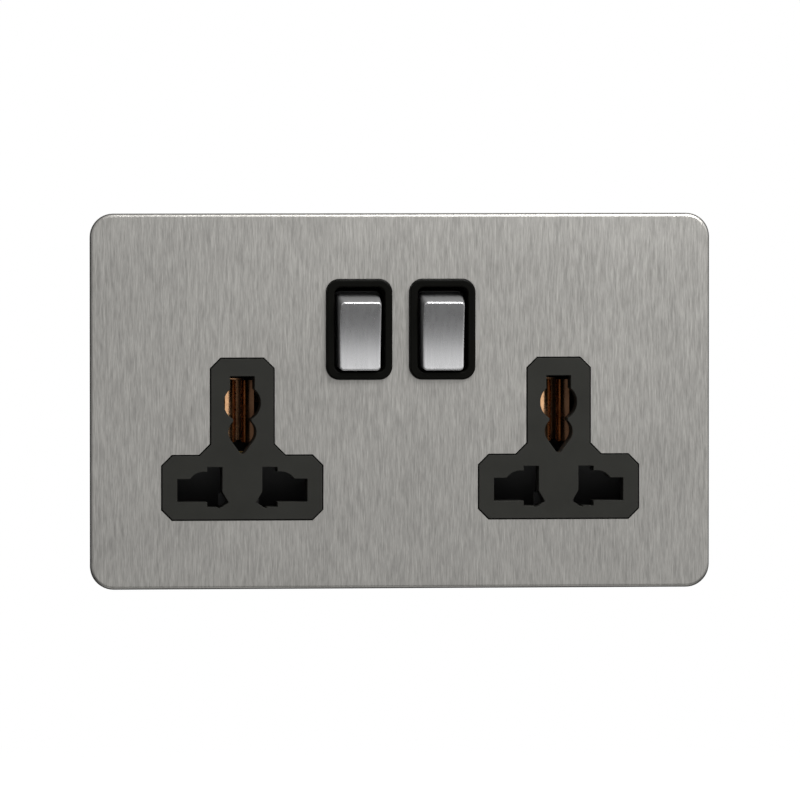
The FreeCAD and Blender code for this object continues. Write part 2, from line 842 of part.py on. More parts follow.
def add_shutter_rails(body):
    """Each shutter slides between a rail and the housing wall, behind two lips."""
    rails = front_sketch(body, "shutter_rails", floor_back)
    lip_level = floor_back - size.shutter_gap - size.shutter_depth - size.lip_gap
    lips = front_sketch(body, "shutter_lips", lip_level)
    ledges = front_sketch(body, "spring_ledges", floor_back)
    guide = inner_half_width - size.outlet_x
    low = -inner_half_height
    high = size.pin_line_z + size.shutter_top + size.shutter_travel
    for _, side in SIDES:
        middle = side * size.outlet_x
        inner = middle - side * guide
        outer = middle + side * guide
        add_rectangle(rails, inner, inner - side * size.rail_thick, low, high)
        add_rectangle(lips, inner - side * size.rail_thick, inner + side * size.lip_reach, low, high)
        add_rectangle(lips, outer - side * size.lip_reach, outer + side * size.rail_thick, low, high)
        seat_x = middle + size.spring_x
        add_rectangle(ledges, seat_x - size.ledge_half, seat_x + size.ledge_half,
                      size.spring_seat_z, size.spring_seat_z + size.ledge_thick)
    pad(body, rails, floor_back - lip_level + size.lip_thick, backwards=True)
    pad(body, lips, size.lip_thick, backwards=True)
    pad(body, ledges, size.shutter_gap + size.shutter_depth, backwards=True)


def add_switch_wells(body):
    """A tower behind the deck with a well for each rocker and a notch for the trunnions."""
    tower = front_sketch(body, "switch_tower", deck_front - size.deck_thick / 2)
    tower_half = switch_x + well_width / 2 + size.tower_side
    tower_bottom = size.switch_z - well_height / 2 - size.tower_end
    add_rectangle(tower, -tower_half, tower_half, tower_bottom, inner_half_height)
    pad(body, tower, deck_front - size.deck_thick / 2 + size.tower_depth, backwards=True)
    wells = front_sketch(body, "rocker_wells", deck_front)
    for _, side in SIDES:
        add_rounded_rectangle(wells, side * switch_x, size.switch_z, well_width,
                              well_height, size.well_corner)
    pocket(body, wells, deck_front + size.tower_depth)
    notch = side_sketch(body, "trunnion_notch")
    radius = size.trunnion_radius + size.trunnion_play
    back = size.tower_depth + size.trunnion_radius
    first = notch.GeometryCount
    circle = Part.Circle(vector(size.pivot_depth, size.switch_z), FreeCAD.Vector(0, 0, 1), radius.value)
    notch.addGeometry(Part.ArcOfCircle(circle, math.pi / 2, math.pi * 3 / 2), False)
    corners = [(size.pivot_depth, size.switch_z - radius), (back, size.switch_z - radius),
               (back, size.switch_z + radius), (size.pivot_depth, size.switch_z + radius)]
    for start, end in zip(corners, corners[1:]):
        notch.addGeometry(Part.LineSegment(vector(*start), vector(*end)), False)
    for index, corner in enumerate(corners[:-1]):
        place_point(notch, first + 1 + index, 1, corner[0], corner[1])
        if index:
            notch.addConstraint(Sketcher.Constraint("Coincident", first + index, 2, first + 1 + index, 1))
    place_point(notch, first + 3, 2, corners[-1][0], corners[-1][1])
    notch.addConstraint(Sketcher.Constraint("Coincident", first, 2, first + 1, 1))
    notch.addConstraint(Sketcher.Constraint("Coincident", first, 1, first + 3, 2))
    place_across(notch, first, 3, size.pivot_depth)
    reach = switch_x + well_width / 2 + size.trunnion_reach + size.trunnion_end_play
    pocket(body, notch, 2 * reach, both_ways=True)


def add_lug_recesses(body, name, level, depth):
    """A shallow recess in each side, so that the box's fixing lugs pass."""
    recesses = front_sketch(body, name, level)
    for _, side in SIDES:
        add_rectangle(recesses, side * (module_width / 2 - size.recess_depth),
                      side * (module_width / 2 + size.module_wall), -size.recess_half, size.recess_half)
    pocket(body, recesses, depth)


def make_front_moulding():
    body = new_body("front_moulding")
    skirt = front_sketch(body, "module_outline", deck_front)
    add_rounded_rectangle(skirt, 0, 0, module_width, size.module_height, size.module_corner)
    pad(body, skirt, deck_front - module_back, backwards=True)
    deck = front_sketch(body, "deck_outline", deck_front)
    add_rounded_rectangle(deck, 0, 0, deck_width, deck_height, size.module_corner)
    pad(body, deck, size.deck_thick, backwards=True)
    bosses = front_sketch(body, "insert_outlines", insert_front)
    for _, side in SIDES:
        add_polygon(bosses, insert_points(side * size.outlet_x, 0))
    pad(body, bosses, insert_front - deck_front + size.deck_thick / 2, backwards=True)
    cavity = front_sketch(body, "module_cavity", floor_back)
    add_rounded_rectangle(cavity, 0, 0, 2 * inner_half_width, 2 * inner_half_height, size.module_wall)
    pocket(body, cavity, size.module_depth)
    middle = front_sketch(body, "middle_bay", yoke_front)
    bay_half = size.outlet_x - size.insert_half - size.rail_thick
    add_rectangle(middle, -bay_half, bay_half, -inner_half_height, inner_half_height)
    pocket(body, middle, size.module_depth / 2)
    add_switch_wells(body)
    add_shutter_rails(body)
    posts = front_sketch(body, "screw_posts", floor_back + size.deck_thick / 2)
    pilots = front_sketch(body, "screw_pilots", module_back + size.cover_screw_length)
    stakes = front_sketch(body, "stakes", yoke_front + size.deck_thick / 2)
    stake_heads = front_sketch(body, "stake_heads", as_size(0))
    notches = front_sketch(body, "fixing_notches", deck_front)
    for _, side in SIDES:
        add_circle(notches, side * fixing_x, 0, size.fixing_head_radius + size.head_room)
        for rise in (-1, 1):
            add_circle(posts, side * post_x, rise * post_z, size.post_radius)
            add_circle(pilots, side * post_x, rise * post_z, size.cover_screw_radius)
            add_circle(stakes, side * stake_x, rise * stake_z, size.stake_radius)
            add_circle(stake_heads, side * stake_x, rise * stake_z,
                       size.stake_radius + size.stake_head_rim)
    pad(body, posts, floor_back + size.deck_thick / 2 - module_back, backwards=True)
    pocket(body, pilots, size.cover_screw_length)
    pad(body, stakes, yoke_front + size.deck_thick / 2 + size.stake_head / 2, backwards=True)
    pad(body, stake_heads, size.stake_head, backwards=True)
    pocket(body, notches, size.deck_thick)
    window = front_sketch(body, "terminal_window", module_back + size.window_depth)
    add_rectangle(window, -size.window_half, size.window_half,
                  -(size.module_height / 2 + size.module_wall),
                  -(inner_half_height - size.module_wall / 2))
    pocket(body, window, size.window_depth)
    add_lug_recesses(body, "moulding_lug_recesses", as_size(0), size.module_depth)
    add_pin_holes(body)
    return body


def terminal_places():
    """Name and place across of each terminal, from left to right."""
    half = size.terminal_pitch / 2
    return [
        ("earth_terminal_left", -3 * half),
        ("line_terminal", -1 * half),
        ("neutral_terminal", 1 * half),
        ("earth_terminal_right", 3 * half),
    ]


def make_rear_cover():
    body = new_body("rear_cover")
    outline = front_sketch(body, "cover_outline", module_back)
    add_rounded_rectangle(outline, 0, 0, module_width, size.module_height, size.module_corner)
    pad(body, outline, size.cover_thick, backwards=True)
    middle = terminal_top - size.terminal_height / 2
    shrouds = front_sketch(body, "clamp_shrouds", cover_back + size.cover_thick / 2)
    clamp_holes = front_sketch(body, "clamp_holes", module_back)
    shroud_inner = size.clamp_head_radius + size.clamp_head_play
    for _, across in terminal_places():
        add_circle(shrouds, across, middle, shroud_inner + size.shroud_wall)
        add_circle(clamp_holes, across, middle, shroud_inner)
    pad(body, shrouds, size.cover_thick / 2 + size.shroud_height, backwards=True)
    pocket(body, clamp_holes, size.cover_thick + size.shroud_height)
    partitions = front_sketch(body, "terminal_partitions", terminal_front_level)
    for step in (-1, 0, 1):
        across = step * size.terminal_pitch
        add_rectangle(partitions, across - size.partition / 2, across + size.partition / 2,
                      size.terminal_bottom, terminal_top - size.partition_drop)
    pad(body, partitions, size.terminal_thick, backwards=True)
    live_ribs = front_sketch(body, "live_ribs", live_level - size.strip_thick)
    line_x = -size.terminal_pitch / 2
    rib = size.rib_half
    below = size.earth_bar_z - size.rib_clear
    above = size.earth_bar_z + size.rib_clear
    jaw_low = size.pin_line_z - size.jaw_rib_half
    add_rectangle(live_ribs, -(switch_x + size.arm_width / 2), switch_x + size.arm_width / 2,
                  size.switch_z - rib, size.switch_z + rib)
    add_rectangle(live_ribs, line_x - rib, line_x + rib, below - size.line_rib_length, below)
    for _, side in SIDES:
        jaw_x = side * size.outlet_x + size.pin_offset
        add_rectangle(live_ribs, jaw_x - rib, jaw_x + rib, above, above + size.tall_rib_length)
        add_rectangle(live_ribs, jaw_x - rib, jaw_x + rib, jaw_low, size.pin_line_z + size.jaw_rib_half)
        add_rectangle(live_ribs, side * switch_x - size.contact_rib_half,
                      side * switch_x + size.contact_rib_half, contact_z - rib, contact_z + rib)
    pad(body, live_ribs, size.module_depth - size.live_layer - size.strip_thick, backwards=True)
    neutral_ribs = front_sketch(body, "neutral_ribs", neutral_level - size.strip_thick)
    for _, side in SIDES:
        jaw_x = side * size.outlet_x - size.pin_offset
        add_rectangle(neutral_ribs, jaw_x - rib, jaw_x + rib, jaw_low, size.neutral_bar_z + rib)
    pad(body, neutral_ribs, size.module_depth - size.neutral_layer - size.strip_thick, backwards=True)
    screw_holes = front_sketch(body, "cover_screw_holes", module_back)
    for _, side in SIDES:
        for rise in (-1, 1):
            add_circle(screw_holes, side * post_x, rise * post_z,
                       size.cover_screw_radius + size.cover_screw_play)
    pocket(body, screw_holes, size.cover_thick)
    add_lug_recesses(body, "cover_lug_recesses", module_back, size.cover_thick)
    return body


def make_cover_screw(name, side, rise):
    body = new_body("cover_screw_" + name)
    shank = front_sketch(body, "cover_shank", cover_back)
    add_circle(shank, 0, 0, size.cover_screw_radius - size.fit_gap)
    pad(body, shank, size.cover_screw_length + size.cover_thick - size.pilot_spare)
    head = front_sketch(body, "cover_head", cover_back)
    add_circle(head, 0, 0, size.cover_screw_head)
    pad(body, head, size.cover_screw_head_height, backwards=True)
    drive = front_sketch(body, "cover_drive", cover_back - size.cover_screw_head_height)
    add_centred_rectangle(drive, as_size(0), as_size(0), 2 * size.cover_screw_head * 0.7,
                          size.cover_drive_width)
    pocket(body, drive, size.cover_screw_head_height * 0.6, forwards=True)
    seat(body, side * post_x, 0, rise * post_z)
    return body


# Shutters.

def make_shutter(side_name, side):
    """Two wedge blades joined low down; pins pressed against the wedges lift it."""
    body = new_body("shutter_" + side_name)
    front = -floor_back + size.shutter_gap
    back = front + size.shutter_depth
    for name, start in (("left_blade", -size.shutter_half), ("right_blade", size.shutter_inner)):
        profile = side_sketch(body, name, start)
        add_polygon(profile, [
            (front, size.shutter_top),
            (back, size.shutter_top),
            (back, -size.shutter_bottom),
            (back - size.shutter_toe, -size.shutter_bottom),
            (front, size.shutter_top - size.shutter_toe),
        ])
        pad(body, profile, size.shutter_half - size.shutter_inner)
        if name == "left_blade":
            bridge = side_sketch(body, "bridge", -(size.shutter_inner + size.shutter_toe))
            low = -size.shutter_bottom
            add_rectangle(bridge, back - size.shutter_depth * 0.4, back, low, low + size.shutter_bridge)
            pad(body, bridge, 2 * (size.shutter_inner + size.shutter_toe))
    spigot = top_sketch(body, "spring_spigot", size.shutter_top - size.shutter_toe)
    add_circle(spigot, size.spring_x, (front + back) / 2, size.spigot_radius)
    pad(body, spigot, size.spigot_height + size.shutter_toe)
    seat(body, side * size.outlet_x, 0, size.pin_line_z)
    return body


def coil(label, radius, wire, length, turns):
    """A compression spring about its own Z axis, standing on its origin."""
    helix = doc.addObject("Part::Helix", label + "_path")
    helix.Pitch = (length.value - 2 * wire.value) / turns
    helix.setExpression("Pitch", ((length - 2 * wire) / turns).text)
    helix.Height = length.value - 2 * wire.value
    helix.setExpression("Height", (length - 2 * wire).text)
    helix.Radius = radius.value
    helix.setExpression("Radius", radius.text)
    section = doc.addObject("Part::RegularPolygon", label + "_section")
    section.Polygon = WIRE_SIDES
    section.Circumradius = wire.value
    section.setExpression("Circumradius", wire.text)
    section.Placement = FreeCAD.Placement(
        FreeCAD.Vector(radius.value, 0, 0), FreeCAD.Rotation(FreeCAD.Vector(1, 0, 0), 90))
    section.setExpression("Placement.Base.x", radius.text)
    doc.recompute()
    sweep = doc.addObject("Part::Sweep", label)
    sweep.Sections = [section]
    sweep.Spine = (helix, ["Edge%d" % (index + 1) for index in range(len(helix.Shape.Edges))])
    sweep.Solid = True
    sweep.Frenet = True
    sweep.Label = label
    return sweep


SPRING_TURNS = 5
PLUNGER_TURNS = 4
WIRE_SIDES = 6


def make_shutter_spring(side_name, side):
    length = size.spring_seat_z - size.pin_line_z - size.shutter_top
    spring = coil("shutter_spring_" + side_name, size.spring_radius, size.spring_wire, length, SPRING_TURNS)
    depth = -floor_back + size.shutter_gap + size.shutter_depth / 2
    seat(spring, side * size.outlet_x + size.spring_x, depth,
         size.pin_line_z + size.shutter_top + size.spring_wire)
    return spring


# Switches.

def make_switch_bezel(side_name, side):
    body = new_body("switch_bezel_" + side_name)
    flange = front_sketch(body, "bezel_flange", plate_back)
    add_rounded_rectangle(flange, 0, 0, size.bezel_width + 2 * size.bezel_flange,
                          size.bezel_height + 2 * size.bezel_flange,
                          size.bezel_corner + size.bezel_flange)
    pad(body, flange, plate_back - deck_front, backwards=True)
    collar = front_sketch(body, "bezel_collar", bezel_front)
    add_rounded_rectangle(collar, 0, 0, size.bezel_width, size.bezel_height, size.bezel_corner)
    pad(body, collar, bezel_front - deck_front, backwards=True)
    opening = front_sketch(body, "bezel_opening", bezel_front)
    add_rounded_rectangle(opening, 0, 0, well_width, well_height, size.well_corner)
    cut = pocket(body, opening, bezel_front - deck_front)
    round_edges(body, cut, size.bezel_round, lies_at_level(bezel_front))
    seat(body, side * switch_x, 0, size.switch_z)
    return body


def make_rocker_cap(side_name, side):
    """Metal cap with drafted walls and a dished face, on its pivot as its own origin."""
    body = new_body("rocker_cap_" + side_name)
    base_level = size.cap_reach - size.cap_depth
    base = front_sketch(body, "cap_base", base_level)
    add_rounded_rectangle(
        base, 0, 0,
        2 * (cap_half_width + size.cap_depth * tangent(size.cap_side_draft)),
        2 * (cap_half_length + size.cap_depth * tangent(size.cap_end_draft)),
        size.cap_base_corner)
    face = front_sketch(body, "cap_face", size.cap_reach)
    add_rounded_rectangle(face, 0, 0, 2 * cap_half_width, 2 * cap_half_length, size.cap_face_corner)
    loft = body.newObject("PartDesign::AdditiveLoft", "cap_block")
    loft.Profile = base
    loft.Sections = [face]
    loft.Ruled = True
    dish = side_sketch(body, "cap_dish")
    dish_radius = (cap_half_length * cap_half_length + size.cap_dish * size.cap_dish) \
        / (2 * size.cap_dish)
    add_circle(dish, -(size.cap_reach - size.cap_dish + dish_radius), 0, dish_radius)
    dished = pocket(body, dish, 4 * cap_half_width, both_ways=True)

    def on_face_rim(edge):
        box = edge.BoundBox
        return box.YMax < -(size.cap_reach.value - size.cap_dish.value) + 0.01
    round_edges(body, dished, size.cap_round, on_face_rim)
    hollow = front_sketch(body, "cap_hollow", size.cap_reach - size.cap_dish - size.cap_wall)
    add_centred_rectangle(hollow, as_size(0), as_size(0), 2 * (cap_half_width - size.cap_wall),
                          2 * (cap_half_length - size.cap_wall))
    pocket(body, hollow, size.cap_depth)
    seat(body, side * switch_x, size.pivot_depth, size.switch_z, size.rocker_tilt)
    return body


def make_rocker_body(side_name, side):
    """Plastic rocker inside the cap, with trunnions, the plunger's guide and a skirt behind the cap."""
    body = new_body("rocker_body_" + side_name)
    top = size.cap_reach - size.cap_dish - size.cap_wall - size.fit_gap
    block = front_sketch(body, "rocker_block", top)
    add_centred_rectangle(block, as_size(0), as_size(0),
                          2 * (cap_half_width - size.cap_wall - size.fit_gap),
                          2 * (cap_half_length - size.cap_wall - size.fit_gap))
    pad(body, block, top + size.block_back, backwards=True)
    skirt = front_sketch(body, "rocker_skirt", size.skirt_front)
    add_rounded_rectangle(skirt, 0, 0, well_width - 2 * size.skirt_side_gap,
                          well_height - 2 * size.skirt_end_gap, size.well_corner)
    pad(body, skirt, size.skirt_thick, backwards=True)
    hubs = side_sketch(body, "hubs")
    add_circle(hubs, 0, 0, size.hub_radius)
    pad(body, hubs, well_width - 2 * size.hub_play, both_ways=True)
    trunnions = side_sketch(body, "trunnions")
    add_circle(trunnions, 0, 0, size.trunnion_radius)
    pad(body, trunnions, well_width + 2 * size.trunnion_reach, both_ways=True)
    guide = front_sketch(body, "plunger_guide", as_size(0))
    add_circle(guide, 0, 0, size.guide_radius)
    pad(body, guide, size.guide_length, backwards=True)
    bore_bottom = size.plunger_spring_length - (size.plunger_reach - size.plunger_length)
    bore = front_sketch(body, "plunger_bore", bore_bottom)
    add_circle(bore, 0, 0, size.plunger_radius + size.plunger_play)
    pocket(body, bore, 2 * size.guide_length)
    seat(body, side * switch_x, size.pivot_depth, size.switch_z, size.rocker_tilt)
    return body


def make_plunger(side_name, side):
    """Round-nosed plunger, turned about the guide's axis."""
    body = new_body("plunger_" + side_name)
    profile = top_sketch(body, "plunger_profile")
    radius = size.plunger_radius
    near = size.plunger_reach - size.plunger_length
    far = size.plunger_reach - radius
    circle = Part.Circle(vector(0, far), FreeCAD.Vector(0, 0, 1), radius.value)
    profile.addGeometry(Part.ArcOfCircle(circle, 0, math.pi / 2), False)
    corners = [(as_size(0), size.plunger_reach), (as_size(0), near), (radius, near), (radius, far)]
    for start, end in zip(corners, corners[1:]):
        profile.addGeometry(Part.LineSegment(vector(*start), vector(*end)), False)
    for index, corner in enumerate(corners[:-1]):
        place_point(profile, 1 + index, 1, corner[0], corner[1])
        if index:
            profile.addConstraint(Sketcher.Constraint("Coincident", index, 2, 1 + index, 1))
    place_point(profile, 3, 2, radius, far)
    profile.addConstraint(Sketcher.Constraint("Coincident", 0, 2, 1, 1))
    profile.addConstraint(Sketcher.Constraint("Coincident", 0, 1, 3, 2))
    bind(profile, Sketcher.Constraint("Radius", 0, radius.value), radius)
    turned = body.newObject("PartDesign::Revolution", "plunger_turned")
    turned.Profile = profile
    turned.ReferenceAxis = (profile, ["V_Axis"])
    turned.Angle = 360
    seat(body, side * switch_x, size.pivot_depth, size.switch_z, size.rocker_tilt)
    return body


def make_plunger_spring(side_name, side):
    """Spring between the bore's bottom and the plunger, tilted with the rocker."""
    spring = coil("plunger_spring_" + side_name, size.plunger_spring_radius, size.plunger_spring_wire,
                  size.plunger_spring_length, PLUNGER_TURNS)
    near = size.plunger_reach - size.plunger_length - size.plunger_spring_wire
    tilt = FreeCAD.Rotation(FreeCAD.Vector(1, 0, 0), size.rocker_tilt.value)
    lying = FreeCAD.Rotation(FreeCAD.Vector(1, 0, 0), 90)
    pivot = FreeCAD.Vector((side * switch_x).value, size.pivot_depth.value, size.switch_z.value)
    spring.Placement = FreeCAD.Placement(
        pivot + tilt.multVec(FreeCAD.Vector(0, near.value, 0)), tilt.multiply(lying))
    return spring


def make_contact_arm(side_name, side):
    """Seesaw strip on the knife edge; its origin is the knife edge."""
    body = new_body("contact_arm_" + side_name)
    knife_level = arm_back_level - size.knife_gap
    strip = front_sketch(body, "arm_strip", arm_front_level - knife_level)
    add_centred_rectangle(strip, as_size(0), as_size(0), size.arm_width, 2 * size.arm_half_length)
    pad(body, strip, size.strip_thick, backwards=True)
    dimple = front_sketch(body, "arm_dimple", arm_back_level - knife_level + size.strip_thick / 2)
    add_circle(dimple, 0, size.contact_offset, size.arm_dimple_radius)
    pad(body, dimple, size.arm_dimple + size.strip_thick / 2, backwards=True)
    seat(body, side * switch_x, -knife_level, size.switch_z, -size.arm_tilt)
    return body


# Strips, jaws and terminals.

def add_pin_jaw(body, name, across, base_level):
    """Two leaves above and below a flat pin, drawn in to a waist and flared at the mouth."""
    profile = side_sketch(body, name, across - size.jaw_width / 2)
    back = -base_level + size.strip_thick
    base = -base_level
    half = size.jaw_half_height
    leaf = size.jaw_leaf
    outline = [
        (back, half),
        (base, half),
        (size.jaw_waist_depth, size.jaw_waist + leaf),
        (size.jaw_front, size.jaw_mouth + leaf * 0.6),
        (size.jaw_front, size.jaw_mouth - leaf * 0.4),
        (size.jaw_waist_depth, size.jaw_waist),
        (base, half - leaf),
    ]
    mirrored = [(deep, -up) for deep, up in reversed(outline)]
    add_polygon(profile, [(deep, size.pin_line_z + up) for deep, up in outline + mirrored])
    pad(body, profile, size.jaw_width)


def make_live_bar():
    """Strip from the line terminal to both switches, with a knife edge under each arm."""
    body = new_body("live_bar")
    knife_level = arm_back_level - size.knife_gap
    across = -size.terminal_pitch / 2
    strip = front_sketch(body, "live_strip", live_level)
    half = switch_x + size.arm_width / 2
    top = size.switch_z + size.bar_width / 2
    bottom = size.switch_z - size.bar_width / 2
    add_polygon(strip, [
        (across - size.strip_width / 2, terminal_top),
        (across + size.strip_width / 2, terminal_top),
        (across + size.strip_width / 2, bottom),
        (half, bottom),
        (half, top),
        (-half, top),
        (-half, bottom),
        (across - size.strip_width / 2, bottom),
    ])
    pad(body, strip, size.strip_thick, backwards=True)
    for name, side in SIDES:
        knife = side_sketch(body, "knife_" + name, side * switch_x - size.arm_width / 2)
        add_polygon(knife, [
            (-live_level + size.strip_thick / 2, size.switch_z - size.knife_half),
            (-live_level + size.strip_thick / 2, size.switch_z + size.knife_half),
            (-live_level, size.switch_z + size.knife_half),
            (-knife_level + size.knife_clear, size.switch_z + size.knife_edge_half),
            (-knife_level + size.knife_clear, size.switch_z - size.knife_edge_half),
            (-live_level, size.switch_z - size.knife_half),
        ])
        pad(body, knife, size.arm_width)
    return body


def make_line_contact(side_name, side):
    """Strip from a switch's fixed contact over to the line jaw of its outlet."""
    body = new_body("line_contact_" + side_name)
    jaw_x = side * size.outlet_x + size.pin_offset
    half = size.strip_width / 2
    strip = front_sketch(body, "line_strip", live_level)
    near = side * (switch_x - size.arm_width / 2)
    add_polygon(strip, [
        (near, contact_z + half),
        (jaw_x + side * half, contact_z + half),
        (jaw_x + side * half, size.pin_line_z + size.jaw_half_height - size.jaw_leaf),
        (jaw_x - side * half, size.pin_line_z + size.jaw_half_height - size.jaw_leaf),
        (jaw_x - side * half, contact_z - half),
        (near, contact_z - half),
    ])
    pad(body, strip, size.strip_thick, backwards=True)
    base = front_sketch(body, "jaw_base", live_level)
    add_centred_rectangle(base, jaw_x, size.pin_line_z, size.jaw_width, 2 * size.jaw_half_height)
    pad(body, base, size.strip_thick, backwards=True)
    add_pin_jaw(body, "line_jaw", jaw_x, live_level)
    return body


def make_neutral_bar():
    """One strip with a jaw at each outlet and a tab to the neutral terminal."""
    body = new_body("neutral_bar")
    strip = front_sketch(body, "neutral_strip", neutral_level)
    left = -size.outlet_x - size.pin_offset - size.jaw_width / 2
    right = size.outlet_x - size.pin_offset + size.jaw_width / 2
    add_rectangle(strip, left, right, size.neutral_bar_z - size.bar_width / 2,
                  size.neutral_bar_z + size.bar_width / 2)
    pad(body, strip, size.strip_thick, backwards=True)
    tabs = front_sketch(body, "neutral_tabs", neutral_level)
    across = size.terminal_pitch / 2
    add_rectangle(tabs, across - size.strip_width / 2, across + size.strip_width / 2,
                  terminal_top, size.neutral_bar_z)
    for _, side in SIDES:
        jaw_x = side * size.outlet_x - size.pin_offset
        add_rectangle(tabs, jaw_x - size.jaw_width / 2, jaw_x + size.jaw_width / 2,
                      size.pin_line_z - size.jaw_half_height, size.neutral_bar_z)
    pad(body, tabs, size.strip_thick, backwards=True)
    for name, side in SIDES:
        add_pin_jaw(body, "neutral_jaw_" + name, side * size.outlet_x - size.pin_offset, neutral_level)
    return body


def make_earth_bar():
    """One strip across both outlets, with a tall earth jaw at each and tabs to the terminals."""
    body = new_body("earth_bar")
    strip = front_sketch(body, "earth_strip", earth_level)
    low = size.earth_bar_z - size.earth_bar_width / 2
    high = size.earth_bar_z + size.earth_bar_width / 2
    reach = size.outlet_x + size.jaw_half_height
    add_rectangle(strip, -reach, reach, low, high)
    pad(body, strip, size.strip_thick, backwards=True)
    tabs = front_sketch(body, "earth_tabs", earth_level)
    jaw_low = size.pin_line_z + size.earth_jaw_bottom
    jaw_high = size.pin_line_z + size.earth_jaw_top
    for _, side in SIDES:
        across = side * 3 * size.terminal_pitch / 2
        add_rectangle(tabs, across - size.strip_width / 2, across + size.strip_width / 2,
                      terminal_top, size.earth_bar_z)
        middle = side * size.outlet_x
        add_rectangle(tabs, middle - size.jaw_half_height, middle + size.jaw_half_height,
                      jaw_low, jaw_high)
    pad(body, tabs, size.strip_thick, backwards=True)
    for name, side in SIDES:
        profile = top_sketch(body, "earth_jaw_" + name, jaw_low)
        for hand in (-1, 1):
            add_curled_leaf(profile, side * size.outlet_x, hand)
        pad(body, profile, jaw_high - jaw_low)
    return body


def add_curled_leaf(sketch, middle, hand):
    """A leaf that rises from the strip, leans in to the waist and curls out in a quarter turn."""
    waist_depth = size.earth_jaw_waist_depth
    half = size.jaw_half_height
    centre_x = middle + hand * (size.earth_jaw_waist + size.earth_leaf_curve)
    outer_curve = size.earth_leaf_curve - size.jaw_leaf
    waist_x = middle + hand * size.earth_jaw_waist
    back_x = waist_x + hand * size.jaw_leaf
    corners = [
        (back_x, waist_depth),
        (middle + hand * half, -earth_level),
        (middle + hand * half, -earth_level + size.strip_thick),
        (middle + hand * (half - size.jaw_leaf), -earth_level + size.strip_thick),
        (middle + hand * (half - size.jaw_leaf), -earth_level),
        (waist_x, waist_depth),
    ]
    first = sketch.GeometryCount
    for start, end in zip(corners, corners[1:]):
        sketch.addGeometry(Part.LineSegment(vector(*start), vector(*end)), False)
    for index, corner in enumerate(corners[:-1]):
        place_point(sketch, first + index, 1, corner[0], corner[1])
        if index:
            sketch.addConstraint(
                Sketcher.Constraint("Coincident", first + index - 1, 2, first + index, 1))
    last = first + len(corners) - 2
    place_point(sketch, last, 2, waist_x, waist_depth)
    quarter = math.pi / 2
    start_angle = math.pi if hand > 0 else 3 * quarter
    ends = (1, 2) if hand > 0 else (2, 1)
    arcs = []
    for radius in (outer_curve, size.earth_leaf_curve):
        circle = Part.Circle(vector(centre_x, waist_depth), FreeCAD.Vector(0, 0, 1), radius.value)
        arcs.append(sketch.addGeometry(
            Part.ArcOfCircle(circle, start_angle, start_angle + quarter), False))
    tip = sketch.addGeometry(Part.LineSegment(
        vector(centre_x, waist_depth - outer_curve),
        vector(centre_x, waist_depth - size.earth_leaf_curve)), False)
    sketch.addConstraint(Sketcher.Constraint("Coincident", arcs[0], ends[0], first, 1))
    sketch.addConstraint(Sketcher.Constraint("Coincident", arcs[1], ends[0], last, 2))
    sketch.addConstraint(Sketcher.Constraint("Coincident", arcs[0], ends[1], tip, 1))
    sketch.addConstraint(Sketcher.Constraint("Coincident", arcs[1], ends[1], tip, 2))
    place_point(sketch, tip, 1, centre_x, waist_depth - outer_curve)
    place_point(sketch, tip, 2, centre_x, waist_depth - size.earth_leaf_curve)
    bind(sketch, Sketcher.Constraint("Radius", arcs[0], outer_curve.value), outer_curve)
    bind(sketch, Sketcher.Constraint("Radius", arcs[1], size.earth_leaf_curve.value), size.earth_leaf_curve)


def make_terminal(name, across):
    """Brass block with a cable bore from below and a clamp screw's hole from behind."""
    body = new_body(name)
    block = front_sketch(body, "terminal_block", terminal_front_level)
    add_rectangle(block, -size.terminal_width / 2, size.terminal_width / 2, size.terminal_bottom,
                  terminal_top)
    pad(body, block, size.terminal_thick, backwards=True)
    bore = top_sketch(body, "terminal_bore", size.terminal_bottom)
    add_circle(bore, 0, -bore_level, size.terminal_bore)
    pocket(body, bore, size.terminal_bore_length, forwards=True)
    clamp = front_sketch(body, "clamp_hole", bore_level)
    add_circle(clamp, 0, terminal_top - size.terminal_height / 2, size.clamp_radius + size.clamp_play)
    pocket(body, clamp, size.terminal_thick)
    seat(body, across, 0, 0)
    return body


def make_clamp_screw(name, across):
    """Slotted clamp screw, backed off so that the cable bore is open."""
    body = new_body(name)
    tip_level = bore_level - size.terminal_bore - size.clamp_back
    head_level = module_back - size.clamp_travel - size.clamp_head_clear
    shank = front_sketch(body, "clamp_shank", tip_level)
    add_circle(shank, 0, 0, size.clamp_radius)
    pad(body, shank, tip_level - head_level + size.clamp_head_height / 2, backwards=True)
    head = front_sketch(body, "clamp_head", head_level)
    add_circle(head, 0, 0, size.clamp_head_radius)
    pad(body, head, size.clamp_head_height, backwards=True)
    drive = front_sketch(body, "clamp_drive", head_level - size.clamp_head_height)
    add_centred_rectangle(drive, as_size(0), as_size(0), 3 * size.clamp_head_radius,
                          size.clamp_drive_width)
    pocket(body, drive, size.clamp_head_height * 0.6, forwards=True)
    seat(body, across, 0, terminal_top - size.terminal_height / 2)
    return body


def make_all():
    pieces = [
        make_front_plate(),
        make_plate_carrier(),
        make_mounting_yoke(),
        make_plate_earth_clip(),
        make_front_moulding(),
        make_rear_cover(),
        make_live_bar(),
        make_neutral_bar(),
        make_earth_bar(),
    ]
    for side_name, side in SIDES:
        for make in (make_fixing_screw, make_switch_bezel, make_rocker_cap, make_rocker_body,
                     make_plunger, make_plunger_spring, make_contact_arm, make_line_contact,
                     make_shutter, make_shutter_spring):
            pieces.append(make(side_name, side))
        for rise_name, rise in (("bottom", -1), ("top", 1)):
            pieces.append(make_cover_screw(rise_name + "_" + side_name, side, rise))
    for name, across in terminal_places():
        pieces.append(make_terminal(name, across))
        pieces.append(make_clamp_screw(name.replace("terminal", "clamp_screw"), across))
    return pieces


